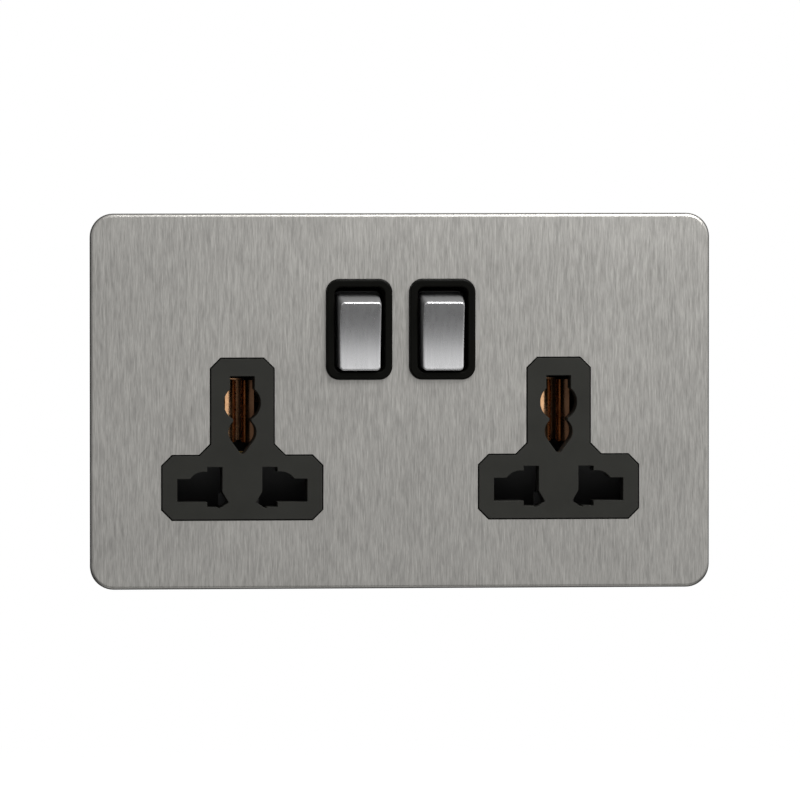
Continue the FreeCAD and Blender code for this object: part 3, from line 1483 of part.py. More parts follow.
def check_and_write(pieces):
    doc.recompute()
    failed = [thing.Name for thing in doc.Objects
              if "Invalid" in thing.State or "Error" in thing.State]
    if failed:
        raise RuntimeError("failed: " + ", ".join(failed))
    os.makedirs("parts", exist_ok=True)
    for piece in pieces:
        shape = piece.Shape
        if shape.isNull() or not shape.isValid() or not shape.Solids:
            raise RuntimeError("%s has no valid solid" % piece.Label)
        print("%-26s %d solid, %8.1f mm3" % (piece.Label, len(shape.Solids), shape.Volume))
        shape.exportStep("parts/%s.step" % piece.Label)


check_and_write(make_all())
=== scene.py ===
# %% [markdown]
# This lesson dresses a twin switched wall socket. The solids come from CAD as a fixed frame,
# with one object for each real piece. Loading it first gives every later cell a true size to
# work from, which is safer than typing the same numbers again.

# %% Load the frame
import math

import bmesh
import bpy
from mathutils import Matrix, Vector


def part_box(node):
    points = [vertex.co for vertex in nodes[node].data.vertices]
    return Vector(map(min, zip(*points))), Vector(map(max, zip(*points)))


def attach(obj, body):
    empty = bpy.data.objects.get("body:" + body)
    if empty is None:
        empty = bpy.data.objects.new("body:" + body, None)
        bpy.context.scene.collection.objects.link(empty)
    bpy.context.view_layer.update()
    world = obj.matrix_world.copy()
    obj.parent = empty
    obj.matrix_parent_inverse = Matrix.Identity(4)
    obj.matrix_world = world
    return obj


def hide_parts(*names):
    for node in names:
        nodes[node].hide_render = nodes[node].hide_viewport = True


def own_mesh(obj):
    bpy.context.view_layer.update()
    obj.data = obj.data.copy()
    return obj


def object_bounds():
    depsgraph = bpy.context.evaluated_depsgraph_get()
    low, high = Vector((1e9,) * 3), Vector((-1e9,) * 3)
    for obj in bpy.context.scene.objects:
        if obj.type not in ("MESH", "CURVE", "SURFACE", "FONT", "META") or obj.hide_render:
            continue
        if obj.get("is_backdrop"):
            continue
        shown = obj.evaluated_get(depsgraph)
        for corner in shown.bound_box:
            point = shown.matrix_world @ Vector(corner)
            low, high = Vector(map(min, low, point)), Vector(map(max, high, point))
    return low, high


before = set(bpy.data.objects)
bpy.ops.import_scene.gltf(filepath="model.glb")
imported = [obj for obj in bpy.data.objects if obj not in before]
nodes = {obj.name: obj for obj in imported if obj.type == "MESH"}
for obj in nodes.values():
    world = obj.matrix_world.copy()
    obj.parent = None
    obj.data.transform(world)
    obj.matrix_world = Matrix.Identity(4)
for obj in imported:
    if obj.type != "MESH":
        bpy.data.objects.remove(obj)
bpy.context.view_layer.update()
MM = 0.001

# %% [markdown]
# The photograph is almost straight from the front, through a very long lens, so nothing in it
# gets smaller with distance. A short lens close by would show the sides of the pin holes too
# much. Here the camera stands 2.4 m away, a little to the left and a little above, and the lens
# is worked out from how much of the picture the plate fills.

# %% Camera
CAMERA_DISTANCE = 2.4
CAMERA_FROM_LEFT = math.radians(6.2)
CAMERA_FROM_ABOVE = math.radians(1.8)
PICTURE = 800
PIXELS_PER_MM = 4.265
PLATE_MIDDLE_PIXEL = (400.7, 400.9)
SENSOR_WIDTH = 36
NEAREST_SEEN, FURTHEST_SEEN = 0.1, 60

plate_low, plate_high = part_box("front_plate")
plate_middle = Vector((
    (plate_low.x + plate_high.x) / 2, plate_low.y, (plate_low.z + plate_high.z) / 2))
towards_camera = Vector((
    -math.sin(CAMERA_FROM_LEFT) * math.cos(CAMERA_FROM_ABOVE),
    -math.cos(CAMERA_FROM_LEFT) * math.cos(CAMERA_FROM_ABOVE),
    math.sin(CAMERA_FROM_ABOVE)))
camera_turn = (-towards_camera).to_track_quat("-Z", "Y")
picture_width = PICTURE / PIXELS_PER_MM * MM
pixel = picture_width / PICTURE
nudge = Vector((
    (PICTURE / 2 - PLATE_MIDDLE_PIXEL[0]) * pixel,
    (PLATE_MIDDLE_PIXEL[1] - PICTURE / 2) * pixel,
    0))
camera_data = bpy.data.cameras.new("camera")
camera_data.sensor_width = SENSOR_WIDTH
camera_data.lens = SENSOR_WIDTH * CAMERA_DISTANCE / picture_width
camera_data.clip_start = NEAREST_SEEN
camera_data.clip_end = FURTHEST_SEEN
camera = bpy.data.objects.new("camera", camera_data)
camera.rotation_mode = "QUATERNION"
camera.rotation_quaternion = camera_turn
camera.location = plate_middle + towards_camera * CAMERA_DISTANCE + camera_turn @ nudge
bpy.context.scene.collection.objects.link(camera)
bpy.context.scene.camera = camera
print("lens", round(camera_data.lens), "mm")

# %% [markdown]
# Finishes are node trees. Written out node by node, even a short sum takes many lines. A small
# class wraps a node's socket instead, so that shader maths reads as plain Python: each operator
# adds one Math node and gives back its output.

# %% A wrapped socket
class Wire:
    """A value in a node tree; arithmetic on it adds Math nodes."""

    def __init__(self, web, socket):
        self.web = web
        self.socket = socket

    def step(self, operation, first, second):
        return self.web.add("ShaderNodeMath", {"operation": operation}, {0: first, 1: second})

    def __add__(self, other):
        return self.step("ADD", self, other)

    def __radd__(self, other):
        return self.step("ADD", other, self)

    def __sub__(self, other):
        return self.step("SUBTRACT", self, other)

    def __rsub__(self, other):
        return self.step("SUBTRACT", other, self)

    def __mul__(self, other):
        return self.step("MULTIPLY", self, other)

    def __rmul__(self, other):
        return self.step("MULTIPLY", other, self)

    def most(self, other):
        return self.step("MAXIMUM", self, other)

    def size(self):
        return self.step("ABSOLUTE", self, 0.0)


print("wrapped socket ready")

# %% [markdown]
# Every other node comes from one method, which takes the node's type, its settings and the
# values or links of its sockets. Settings go first, since some of them change which sockets the
# node has. The helpers below it name the few nodes that most finishes share. A Mix node keeps
# sockets for each type of data side by side, so these are reached by number.

# %% A node tree
MIX_SHARE = 0
MIX_VECTORS, MIX_VECTOR_OUT = (4, 5), 1
MIX_COLOURS, MIX_COLOUR_OUT = (6, 7), 2


def set_stops(ramp, stops):
    """Give a colour ramp its stops, each a position and a grey level."""
    while len(ramp.elements) > 1:
        ramp.elements.remove(ramp.elements[-1])
    for index, (position, level) in enumerate(stops):
        element = ramp.elements[0] if index == 0 else ramp.elements.new(position)
        element.position = position
        element.color = (level, level, level, 1)


class Web:
    """One finish's node tree, emptied and ready to be filled."""

    def __init__(self, tree):
        self.tree = tree
        tree.nodes.clear()

    def add(self, kind, settings=None, sockets=None, out=0):
        """Add a node, set its settings, then its sockets, and give back one of its outputs."""
        node = self.tree.nodes.new(kind)
        for name, value in (settings or {}).items():
            if name == "stops":
                set_stops(node.color_ramp, value)
            else:
                setattr(node, name, value)
        for name, value in (sockets or {}).items():
            if isinstance(value, Wire):
                self.tree.links.new(value.socket, node.inputs[name])
            else:
                node.inputs[name].default_value = value
        return Wire(self, node.outputs[out]) if node.outputs else node

    def place(self):
        """Where a point is on its own piece, in metres."""
        return self.add("ShaderNodeTexCoord", out="Object")

    def axis(self, place, letter):
        return self.add("ShaderNodeSeparateXYZ", None, {0: place}, out=letter)

    def length(self, vector):
        return self.add("ShaderNodeVectorMath", {"operation": "LENGTH"}, {0: vector}, out="Value")

    def noise(self, place, amounts, detail=3.0, rough=0.6):
        """Noise whose cells are 1/amount long on each axis, around 0.5."""
        stretched = self.add("ShaderNodeVectorMath", {"operation": "MULTIPLY"},
                             {0: place, 1: amounts})
        return self.add("ShaderNodeTexNoise", None, {
            "Vector": stretched, "Scale": 1.0, "Detail": detail, "Roughness": rough})

    def spread(self, value, low, high, to_low, to_high):
        """Stretch low to high over to_low to to_high, and stop at both ends."""
        return self.add("ShaderNodeMapRange", None, {
            "Value": value, "From Min": low, "From Max": high,
            "To Min": to_low, "To Max": to_high})

    def tint(self, share, first, second):
        """A colour between two colours."""
        return self.add("ShaderNodeMix", {"data_type": "RGBA"},
                        {MIX_SHARE: share, MIX_COLOURS[0]: first, MIX_COLOURS[1]: second},
                        out=MIX_COLOUR_OUT)

    def between(self, share, first, second):
        """A vector between two vectors."""
        return self.add("ShaderNodeMix", {"data_type": "VECTOR"},
                        {MIX_SHARE: share, MIX_VECTORS[0]: first, MIX_VECTORS[1]: second},
                        out=MIX_VECTOR_OUT)

    def soft_edges(self, radius):
        """The surface's normal, with every edge rounded over by a radius in millimetres."""
        return self.add("ShaderNodeBevel", {"samples": 6}, {"Radius": radius * MM})


def finish_named(name):
    material = bpy.data.materials.new(name)
    material.use_nodes = True
    return material, Web(material.node_tree)


def put_out(web, shader):
    web.add("ShaderNodeOutputMaterial", None, {"Surface": shader})


print("node helpers ready")

# %% [markdown]
# Metal shows what stands around it. In the photograph the concave rockers run from dark at the
# top to bright near the bottom, so the studio was dark low down and bright from the lens upwards,
# with more light from the right. A world with a soft ramp by height gives that in one node tree,
# and it can't leave hard lamp edges in the metal. The camera itself sees plain white.

# %% Studio light
LIGHT_BY_HEIGHT = [  # how high a direction points, from straight down to straight up, and its light
    (-1.00, 1.05), (-0.88, 0.60), (-0.72, 0.22), (-0.53, 0.25), (-0.39, 0.33), (-0.23, 0.54),
    (-0.10, 0.83), (0.02, 1.05), (0.30, 1.00), (0.70, 1.05), (1.00, 1.60)]
RAMP_TOP = 1.6
MORE_FROM_THE_RIGHT = 0.35
WHITE = (1, 1, 1, 1)

world = bpy.data.worlds.new("studio")
world.use_nodes = True
bpy.context.scene.world = world
web = Web(world.node_tree)
pointing = web.add("ShaderNodeTexCoord", out="Generated")
direction, sideways = web.axis(pointing, "Z"), web.axis(pointing, "X")
ramp_stops = [((height + 1) / 2, light / RAMP_TOP) for height, light in LIGHT_BY_HEIGHT]
by_height = web.add("ShaderNodeValToRGB", {"stops": ramp_stops}, {"Fac": (direction + 1.0) * 0.5})
soft_light = by_height * RAMP_TOP * (sideways * MORE_FROM_THE_RIGHT + 1.0)
seen = web.add("ShaderNodeLightPath", out="Is Camera Ray").most(
    web.add("ShaderNodeLightPath", out="Is Transmission Ray"))
strength = soft_light * (1 - seen) + seen
background = web.add("ShaderNodeBackground", None, {"Color": WHITE, "Strength": strength})
web.add("ShaderNodeOutputWorld", None, {"Surface": background})
print("world ramp with", len(ramp_stops), "stops")

# %% [markdown]
# The world alone would leave the plate flat and the holes without shadows. Two soft round lamps
# are added: a far one from the upper right that gives the shadows their direction, and a near one
# above the plate, whose light fades along it and shines on its upper edge.

# %% Soft lamps
FAR_LAMP_PLACE, FAR_LAMP_WIDTH, FAR_LAMP_WATTS = (0.75, -1.0, 0.95), 0.5, 4.0
NEAR_LAMP_PLACE, NEAR_LAMP_WIDTH, NEAR_LAMP_WATTS = (0.12, -0.20, 0.25), 0.25, 2.4


def add_softbox(name, place, target, width, power):
    """A large soft lamp that the camera doesn't see."""
    lamp_data = bpy.data.lights.new(name, "AREA")
    lamp_data.shape = "DISK"
    lamp_data.size = width
    lamp_data.energy = power
    lamp = bpy.data.objects.new(name, lamp_data)
    lamp.location = place
    lamp.rotation_mode = "QUATERNION"
    lamp.rotation_quaternion = (Vector(target) - Vector(place)).to_track_quat("-Z", "Y")
    lamp.visible_camera = False
    bpy.context.scene.collection.objects.link(lamp)
    print(name, power, "W")


add_softbox("key_softbox", FAR_LAMP_PLACE, (0, 0, 0), FAR_LAMP_WIDTH, FAR_LAMP_WATTS)
add_softbox("near_softbox", NEAR_LAMP_PLACE, (0, 0, 0.02), NEAR_LAMP_WIDTH, NEAR_LAMP_WATTS)

# %% [markdown]
# The socket hangs on a wall in use, and the photograph shows it against plain white. The floor
# lies below the picture's lower edge, so it catches the shadow in other views and stays out of
# this one. Further out it turns to the background's own white, which hides the horizon, and from
# below one looks through it.

# %% Floor
FLOOR_DROP = 0.13
FLOOR_RADIUS = 6.0
FLOOR_GREY = (0.86, 0.86, 0.86, 1)
SHADOW_REACH = (0.30, 0.75)

floor_mesh = bpy.data.meshes.new("floor")
shape = bmesh.new()
bmesh.ops.create_circle(shape, cap_ends=True, segments=96, radius=FLOOR_RADIUS,
                        matrix=Matrix.Translation((0, 0, -FLOOR_DROP)))
shape.to_mesh(floor_mesh)
shape.free()
floor = bpy.data.objects.new("floor", floor_mesh)
bpy.context.scene.collection.objects.link(floor)
floor.visible_glossy = False
pale, web = finish_named("pale_floor")
far = web.add("ShaderNodeMapRange", {"interpolation_type": "SMOOTHSTEP"}, {
    "Value": web.length(web.place()), "From Min": SHADOW_REACH[0], "From Max": SHADOW_REACH[1]})
lit = web.add("ShaderNodeBsdfDiffuse", None, {"Color": FLOOR_GREY})
white = web.add("ShaderNodeEmission", None, {"Color": WHITE, "Strength": 1.0})
looked_at = web.add("ShaderNodeLightPath", out="Is Camera Ray")
floor_top = web.add("ShaderNodeMixShader", None, {0: far * looked_at, 1: lit, 2: white})
from_below = web.add("ShaderNodeNewGeometry", out="Backfacing") * looked_at
clear = web.add("ShaderNodeBsdfTransparent")
put_out(web, web.add("ShaderNodeMixShader", None, {0: from_below, 1: floor_top, 2: clear}))
floor_mesh.materials.append(pale)
floor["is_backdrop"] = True
print("floor", round(FLOOR_DROP / MM), "mm below the plate's middle")

# %% [markdown]
# Each piece from CAD keeps its shape and gets a better finish in its material slot. Most pieces
# come in pairs, so a helper turns one stem into its left and right names.

# %% Dress the pieces
def dress(material, *names):
    """Put a finish in each named CAD piece's material slot."""
    for name in names:
        for slot in nodes[name].material_slots:
            slot.material = material
    print("%-22s %s" % (material.name, ", ".join(names)))


def both(*stems):
    """The left and right piece of each stem."""
    return [stem + side for stem in stems for side in ("_left", "_right")]


def paint(colour, share=1.0):
    """A colour as a socket takes it, scaled by a share and never above white."""
    return tuple(min(1.0, level * share) for level in colour) + (1,)


print("first pair:", both("switch_bezel"))

# %% [markdown]
# Brushed steel is thousands of fine scratches that all run one way, up and down on this plate. An
# image of them would repeat, so noise that is stretched about ten times along Z copies them: the
# finest strokes are a third of a millimetre wide and 3.6 mm long, and wider, fainter bands and
# clouds lie under them. They move the colour a little, the roughness a little and the bump a
# little, because real brushing does all three.
#
# The plate is darker and rougher along the sheet's sheared outer edge. How far a point is inside
# the plate's rounded outline takes only absolute values and a length to work out. Only that
# outline is rounded over and catches the light; the windows are punched and stay sharp.
#
# The rocker caps are finer and almost polished on their dished faces. Their walls are satin, so
# they show no clear reflection. How far a face turns to the front or back tells the two apart.

# %% Brushed metal
BAND_SIZE = 2.5  # how many times wider and longer the bands are than the strokes
BAND_SHARE, CLOUD_SHARE = 0.35, 0.2
CLOUDS_A_METRE = (60, 60, 45)
DARK_SHARE, LIGHT_SHARE, DARK_EDGE_SHARE = 0.5, 1.5, 0.28
BAND_ROUGHNESS, SHEARED_ROUGHNESS, WALL_ROUGHNESS = 0.15, 0.15, 0.3
STROKE_DEPTH = 0.02 * MM
RIM_STARTS, RIM_FULL, SHEARED_FULL = 4, 2, 0.6  # how far in, as widths of the sheared edge
WALL_STARTS, WALL_FULL = 0.75, 0.35  # how much a face turns to the front or back


def beyond_outline(web, place, outline):
    """How far a point lies outside a rounded rectangle in X and Z; less than 0 is inside."""
    half_width, half_height, corner = outline
    past_x = web.axis(place, "X").size() - (half_width - corner)
    past_z = web.axis(place, "Z").size() - (half_height - corner)
    past = web.add("ShaderNodeCombineXYZ", None, {"X": past_x.most(0.0), "Z": past_z.most(0.0)})
    return web.length(past) - corner


def brushed(name, colour, roughness, contrast, width, length, soft, bump, outline=None, edge=None,
            walls=None):
    """Metal brushed along Z; widths and lengths of strokes and edges are in millimetres."""
    material, web = finish_named(name)
    place = web.place()
    across, along = 1 / (width * MM), 1 / (length * MM)
    strokes = web.noise(place, (across, across, along), detail=2.0, rough=0.7)
    bands = web.noise(place, (across / BAND_SIZE, across / BAND_SIZE, along / BAND_SIZE))
    clouds = web.noise(place, CLOUDS_A_METRE, detail=1.0)
    tone = ((strokes - 0.5) * contrast + (bands - 0.5) * (contrast * BAND_SHARE)
            + (clouds - 0.5) * (contrast * CLOUD_SHARE))
    base = web.tint(tone + 0.5, paint(colour, DARK_SHARE), paint(colour, LIGHT_SHARE))
    rough = (bands - 0.5) * BAND_ROUGHNESS + roughness
    height, metal, edges = strokes, 1.0, web.soft_edges(soft)
    if outline:
        beyond, edge = beyond_outline(web, place, outline), edge * MM
        sheared = web.spread(beyond, -edge, -edge * SHEARED_FULL, 0.0, 1.0)
        base = web.tint(sheared, base, paint(colour, DARK_EDGE_SHARE))
        rough = sheared * SHEARED_ROUGHNESS + rough
        rim = web.spread(beyond, -edge * RIM_STARTS, -edge * RIM_FULL, 0.0, 1.0)
        height = strokes * (1 - rim)
        edges = web.between(rim, web.add("ShaderNodeNewGeometry", out="Normal"), edges)
    if walls:
        facing = web.axis(web.add("ShaderNodeTexCoord", out="Normal"), "Y").size()
        wall = web.spread(facing, WALL_STARTS, WALL_FULL, 0.0, 1.0)
        base = web.tint(wall, base, paint(walls))
        rough = wall * WALL_ROUGHNESS + rough
        metal = 1 - wall
    normal = web.add("ShaderNodeBump", None, {
        "Strength": bump, "Distance": STROKE_DEPTH, "Height": height, "Normal": edges})
    put_out(web, web.add("ShaderNodeBsdfPrincipled", None, {
        "Base Color": base, "Metallic": metal, "Roughness": rough, "Normal": normal}))
    return material


print("brushed metal ready")

# %% [markdown]
# The photograph gives the two colours: the plate is a warm mid grey with strokes that one can
# count, the rocker caps are a lighter and cooler grey with strokes that hardly show.

# %% Plate and rocker caps
PLATE_CORNER = 5.5 * MM
plate_outline = (
    (plate_high.x - plate_low.x) / 2, (plate_high.z - plate_low.z) / 2, PLATE_CORNER)
plate_finish = brushed(
    "plate_brushed_steel", colour=(0.292, 0.285, 0.269), roughness=0.36, contrast=0.9,
    width=0.34, length=3.6, soft=0.55, bump=0.25, outline=plate_outline, edge=0.36)
rocker_finish = brushed(
    "rocker_satin_steel", colour=(0.45, 0.45, 0.455), roughness=0.28, contrast=0.08,
    width=0.3, length=6.0, soft=0.35, bump=0.02, walls=(0.075, 0.075, 0.075))

dress(plate_finish, "front_plate")
dress(rocker_finish, *both("rocker_cap"))

# %% [markdown]
# The black and grey parts are injection moulded. Such plastic has a very fine grain from the
# tool, a slight cloudiness, and soft edges, since no mould has a perfectly sharp corner. A Bevel
# node rounds the edges for the light only, which is enough at this size.

# %% Moulded plastics
GRAINS_A_METRE = (9000, 9000, 9000)
PATCHES_A_METRE = (110, 110, 110)
PATCH_DARK, PATCH_LIGHT = 0.8, 1.2
GRAIN_DEPTH, GRAIN_ROUGHNESS = 0.02 * MM, 0.12


def moulded(name, colour, roughness, shine, grain=0.12, edge=0.15):
    """Moulded plastic with the given bump of its grain and softness of its edges in mm."""
    material, web = finish_named(name)
    place = web.place()
    fine = web.noise(place, GRAINS_A_METRE, detail=2.0)
    cloudy = web.noise(place, PATCHES_A_METRE, detail=2.0)
    base = web.tint(cloudy, paint(colour, PATCH_DARK), paint(colour, PATCH_LIGHT))
    rough = (fine - 0.5) * GRAIN_ROUGHNESS + roughness
    normal = web.add("ShaderNodeBump", None, {
        "Strength": grain, "Distance": GRAIN_DEPTH, "Height": fine,
        "Normal": web.soft_edges(edge)})
    put_out(web, web.add("ShaderNodeBsdfPrincipled", None, {
        "Base Color": base, "Roughness": rough, "Specular IOR Level": shine, "Normal": normal}))
    return material


insert_finish = moulded("insert_grey_moulding", colour=(0.0108, 0.0108, 0.0094),
                        roughness=0.55, shine=0.06, edge=0.25)
bezel_finish = moulded("bezel_black_moulding", colour=(0.0016, 0.0016, 0.0013),
                       roughness=0.34, shine=0.025, grain=0.05)
frame_finish = moulded("carrier_black_moulding", colour=(0.012, 0.012, 0.012),
                       roughness=0.5, shine=0.3)
cover_finish = moulded("cover_black_moulding", colour=(0.020, 0.020, 0.021),
                       roughness=0.6, shine=0.3, grain=0.25, edge=0.3)
shutter_finish = moulded("shutter_black_moulding", colour=(0.012, 0.012, 0.012),
                         roughness=0.45, shine=0.3)

dress(insert_finish, "front_moulding")
dress(bezel_finish, *both("switch_bezel"))
dress(frame_finish, "plate_carrier", *both("rocker_body", "plunger"))
dress(cover_finish, "rear_cover")
dress(shutter_finish, *both("shutter"))

# %% [markdown]
# Behind the front there is plated steel, spring wire, brass and copper strip. Plating has a fine
# frosty crystal, and bare copper and brass darken unevenly where they were handled. The screws get
# painted shade in their slots and threads: an Ambient Occlusion node tells how much sky a point of
# the piece can see, and the colour darkens where it sees little. One function makes them all from a
# base colour, a stained colour and how strongly each effect shows.

# %% Plated and bare metals
STAINS_A_METRE = (220, 220, 220)
STAIN_STARTS, STAIN_FULL, STAIN_ROUGHNESS = 0.45, 0.75, 0.25
CRYSTAL_BUMP, CRYSTAL_DEPTH, CRYSTAL_ROUGHNESS = 0.15, 0.03 * MM, 0.15
# The next two lines set painted shade in hollows: how much open sky it needs, and its colour.
RECESS_SHADE_FULL, RECESS_SHADE_ENDS = 0.35, 0.9  # the share of open sky
RECESS_SHADE_COLOUR = (0.05, 0.045, 0.04)
# The colour of the painted shade on the earth contacts.
LEAF_SHADE_COLOUR = (0.055, 0.027, 0.015)


def handled_metal(name, colour, stained, roughness, stain=0.5, crystals_a_metre=2500, recess_shade=None,
                  shade_by_place=None):
    """Metal with a crystal and stains; painted shade in hollows within a reach in mm, and by place.
    """
    material, web = finish_named(name)
    place = web.place()
    crystals = web.noise(place, (crystals_a_metre,) * 3, detail=2.0)
    patches = web.noise(place, STAINS_A_METRE, detail=4.0, rough=0.65)
    stains = web.spread(patches, STAIN_STARTS, STAIN_FULL, 0.0, stain)
    base = web.tint(stains, paint(colour), paint(stained))
    # Painted shade: the colour darkens where the piece sees little open sky, in slots and threads.
    if recess_shade:
        open_sky = web.add("ShaderNodeAmbientOcclusion", {"samples": 8, "only_local": True},
                           {"Distance": recess_shade * MM}, out="AO")
        painted_recess_shade = web.spread(open_sky, RECESS_SHADE_FULL, RECESS_SHADE_ENDS, 1.0, 0.0)
        base = web.tint(painted_recess_shade, base, paint(RECESS_SHADE_COLOUR))
    # Painted shade, placed by a function of where a point lies on the piece.
    if shade_by_place:
        base = web.tint(shade_by_place(web, place), base, paint(LEAF_SHADE_COLOUR))
    rough = (crystals - 0.5) * CRYSTAL_ROUGHNESS + stains * STAIN_ROUGHNESS + roughness
    normal = web.add("ShaderNodeBump", None, {
        "Strength": CRYSTAL_BUMP, "Distance": CRYSTAL_DEPTH, "Height": crystals})
    put_out(web, web.add("ShaderNodeBsdfPrincipled", None, {
        "Base Color": base, "Metallic": 1.0, "Roughness": rough, "Normal": normal}))
    return material


zinc_finish = handled_metal("yoke_zinc_plate", colour=(0.56, 0.57, 0.58),
                            stained=(0.42, 0.43, 0.46), roughness=0.34, crystals_a_metre=1500)
screw_finish = handled_metal("screw_zinc_plate", colour=(0.58, 0.58, 0.57),
                             stained=(0.42, 0.42, 0.42), roughness=0.28, recess_shade=0.7)
wire_finish = handled_metal("spring_wire", colour=(0.50, 0.50, 0.50),
                            stained=(0.32, 0.31, 0.30), roughness=0.30)
brass_finish = handled_metal("rolled_brass", colour=(0.72, 0.52, 0.22),
                             stained=(0.45, 0.28, 0.10), roughness=0.28)
terminal_finish = handled_metal("turned_brass", colour=(0.78, 0.60, 0.28),
                                stained=(0.50, 0.34, 0.13), roughness=0.24)
copper_finish = handled_metal("copper_strip", colour=(0.62, 0.34, 0.17),
                              stained=(0.20, 0.08, 0.035), roughness=0.24, stain=0.8)

dress(zinc_finish, "mounting_yoke", "plate_earth_clip")
dress(screw_finish, *both("fixing_screw", "cover_screw_bottom", "cover_screw_top"))
dress(wire_finish, *both("shutter_spring", "plunger_spring"))
dress(brass_finish, "live_bar", "neutral_bar", *both("line_contact"))
dress(terminal_finish, "line_terminal", "neutral_terminal", *both("earth_terminal"))
dress(terminal_finish, "line_clamp_screw", "neutral_clamp_screw", *both("earth_clamp_screw"))
dress(copper_finish, *both("contact_arm"))

# %% [markdown]
# While the shutters are closed, the earth contacts are the only metal inside that shows from the
# front. Their colour carries painted shade: the copper stays bright only left of each outlet's
# middle at the height of the round hole, and turns dark brown right of the middle and above and
# below the hole, where the leaves face away from the light or lie in shadow. Places on the piece
# draw this painted shade.

# %% Earth contacts
OUTLET_FROM_MIDDLE = 37.3 * MM
# Spans of the painted shade on the leaves, along X and along Z.
RIGHT_LEAF = (0.3 * MM, 1.6 * MM, 0.0, 0.97)  # from, to, and how dark it is at each
BELOW_HOLE = (-3.0 * MM, -4.6 * MM, 0.0, 0.25)
ABOVE_HOLE = (2.2 * MM, 3.4 * MM, 0.0, 0.15)


def painted_leaf_shade(web, place):
    """Painted shade: dark right of each outlet's middle, and above and below the round hole."""
    x, z = web.axis(place, "X"), web.axis(place, "Z")
    middle = web.add("ShaderNodeMath", {"operation": "SIGN"}, {0: x}) * OUTLET_FROM_MIDDLE
    right = web.spread(x - middle, *RIGHT_LEAF)
    return right.most(web.spread(z, *BELOW_HOLE)).most(web.spread(z, *ABOVE_HOLE))


# The earth contacts' copper carries painted shade by place.
earth_finish = handled_metal("earth_contact_copper", colour=(0.74, 0.44, 0.24),
                             stained=(0.30, 0.13, 0.06), roughness=0.22, stain=0.6,
                             shade_by_place=painted_leaf_shade)
dress(earth_finish, "earth_bar")

# %% [markdown]
# The two fixing screws are M3.5 machine screws with a rolled thread, and from behind they are the
# first thing one sees. A normal map can't give their jagged outline, so these pieces are made
# anew. The slotted head and the tapered tip are kept from the CAD solid: it is cut flat with
# bisect_plane, and its open rims are capped. A CAD mesh is loose triangles, so its doubles are
# merged first.

# %% Cut and cap
SEAM = 1e-7


def close_ends(shape):
    """Cap every open rim of a bmesh, then turn its faces outwards."""
    rims = [edge for edge in shape.edges if edge.is_boundary]
    bmesh.ops.holes_fill(shape, edges=rims, sides=0)
    bmesh.ops.recalc_face_normals(shape, faces=shape.faces)


def keep_between(shape, low_y, high_y):
    """Cut a bmesh flat at two heights along Y and cap it; None leaves that end as it is."""
    for height, outwards in ((low_y, -1), (high_y, 1)):
        if height is not None:
            whole = shape.verts[:] + shape.edges[:] + shape.faces[:]
            bmesh.ops.bisect_plane(shape, geom=whole, dist=SEAM, plane_co=(0, height, 0),
                                   plane_no=(0, outwards, 0), clear_outer=True)
    close_ends(shape)


def cut_from_node(name, low_y, high_y):
    """A capped stretch of a CAD piece."""
    shape = bmesh.new()
    shape.from_mesh(nodes[name].data)
    bmesh.ops.remove_doubles(shape, verts=shape.verts, dist=SEAM)
    keep_between(shape, low_y, high_y)
    return shape


def piece_from(name, shapes, finish):
    """One object from several closed shapes, each already in its place."""
    mesh = bpy.data.meshes.new(name)
    whole = bmesh.new()
    for shape in shapes:
        shape.to_mesh(mesh)
        shape.free()
        whole.from_mesh(mesh)
    whole.to_mesh(mesh)
    whole.free()
    mesh.materials.append(finish)
    piece = bpy.data.objects.new(name, mesh)
    bpy.context.scene.collection.objects.link(piece)
    print(name, len(mesh.polygons), "faces")
    return piece


print("cutting helpers ready")

# %% [markdown]
# A real thread is one ridge that climbs round the shank. Here the zigzag of one turn is spun
# around the screw's axis while it climbs by the pitch, which is how a lathe cuts it. Rings that
# are stacked without the climb would look right from afar, but close up their ridges would stand
# straight across.

# %% Threaded fixing screws
THREAD_PITCH = 0.6 * MM
THREAD_CREST = 1.75 * MM
THREAD_ROOT = 1.42 * MM
STEPS_A_TURN = 20
THREAD_FROM = -1.15 * MM
THREAD_TO = 20.4 * MM
RIDGE = [  # radius, and share of the pitch
    (THREAD_ROOT, 0.0), (THREAD_CREST, 0.42), (THREAD_CREST, 0.55), (THREAD_ROOT, 0.97),
    (THREAD_ROOT, 1.0)]


def rolled_thread(axis_x, axis_z):
    """A threaded shank along Y, cut flat at both ends."""
    shape = bmesh.new()
    start = THREAD_FROM - 2 * THREAD_PITCH
    corners = [shape.verts.new((axis_x + radius, start + share * THREAD_PITCH, axis_z))
               for radius, share in RIDGE]
    profile = [shape.edges.new(pair) for pair in zip(corners, corners[1:])]
    turns = math.ceil((THREAD_TO - start) / THREAD_PITCH) + 1
    bmesh.ops.spin(shape, geom=corners + profile, cent=(axis_x, 0, axis_z), axis=(0, 1, 0),
                   dvec=(0, THREAD_PITCH / STEPS_A_TURN, 0), angle=math.tau * turns,
                   steps=STEPS_A_TURN * turns)
    bmesh.ops.remove_doubles(shape, verts=shape.verts, dist=SEAM)
    keep_between(shape, THREAD_FROM, THREAD_TO)
    return shape


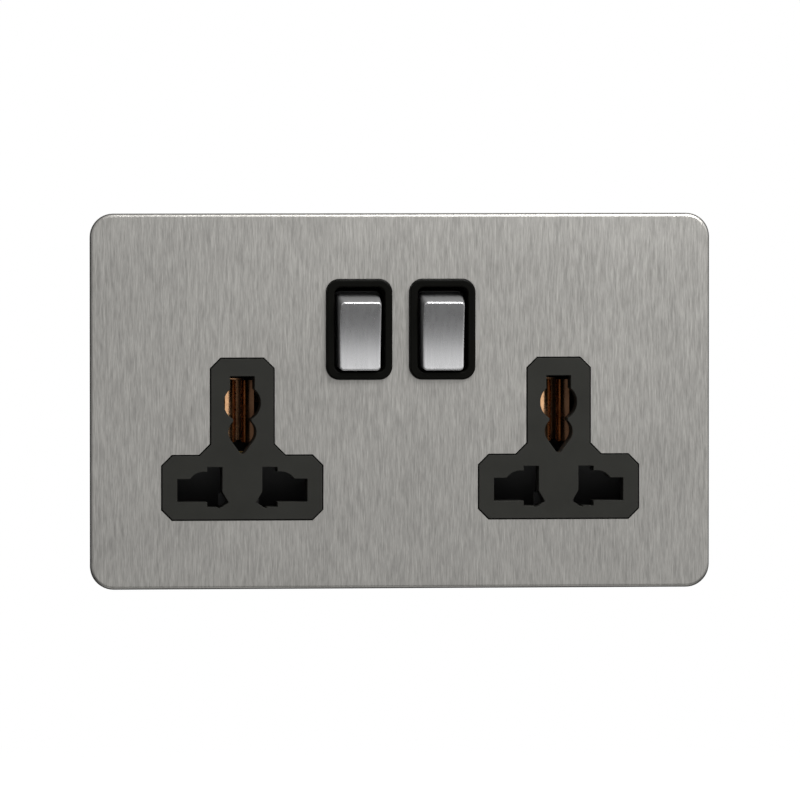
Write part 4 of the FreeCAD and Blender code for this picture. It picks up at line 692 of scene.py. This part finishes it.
for side in ("left", "right"):
    node = "fixing_screw_" + side
    low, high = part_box(node)
    head, tip = cut_from_node(node, None, THREAD_FROM), cut_from_node(node, THREAD_TO, None)
    thread = rolled_thread((low.x + high.x) / 2, (low.z + high.z) / 2)
    screw = piece_from("threaded_" + node, [head, tip, thread], screw_finish)
    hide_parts(node)
    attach(screw, "socket")

# %% [markdown]
# A spring behind each shutter pushes it shut. It is round wire, wound with a flat turn at each end
# so that it stands straight. A circle is spun around the spring's axis three times in a row: one
# turn that climbs by no more than the wire's thickness, the open turns, and one flat turn again.
# The wire is shaded smooth, and its two cut ends stay flat. When the shutter lifts, the spring
# shortens towards its upper seat.

# %% Shutter springs
WIRE_STEPS = 24
WIRE_SIDES = 10
SPRING_WIRE = 0.5 * MM
OPEN_TURNS = 9


def wound_spring(low, high):
    """A coil that fills a box, with its axis along Z."""
    middle_x, middle_y = (low.x + high.x) / 2, (low.y + high.y) / 2
    radius = (high.x - low.x - SPRING_WIRE) / 2
    flat_climb = SPRING_WIRE
    open_climb = (high.z - low.z - SPRING_WIRE - 2 * flat_climb) / OPEN_TURNS
    shape = bmesh.new()
    wire_end = Matrix.Translation((middle_x + radius, middle_y, low.z + SPRING_WIRE / 2))
    bmesh.ops.create_circle(shape, cap_ends=False, segments=WIRE_SIDES, radius=SPRING_WIRE / 2,
                            matrix=wire_end @ Matrix.Rotation(math.pi / 2, 4, "X"))
    front = shape.verts[:] + shape.edges[:]
    for turns, climb in ((1, flat_climb), (OPEN_TURNS, open_climb), (1, flat_climb)):
        spun = bmesh.ops.spin(shape, geom=front, cent=(middle_x, middle_y, 0), axis=(0, 0, 1),
                              dvec=(0, 0, climb / WIRE_STEPS), angle=math.tau * turns,
                              steps=WIRE_STEPS * turns)
        front = spun["geom_last"]
    close_ends(shape)
    for face in shape.faces:
        face.smooth = len(face.verts) == 4
    return shape


for side in ("left", "right"):
    node = "shutter_spring_" + side
    low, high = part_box(node)
    spring = piece_from("wound_" + node, [wound_spring(low, high)], wire_finish)
    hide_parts(node)
    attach(spring, "socket")
    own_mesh(spring)

# %% [markdown]
# Last, the colours are shown as they are, and the size of the dressed scene is measured.

# %% Colour view and size
bpy.context.scene.view_settings.view_transform = "Standard"
low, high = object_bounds()
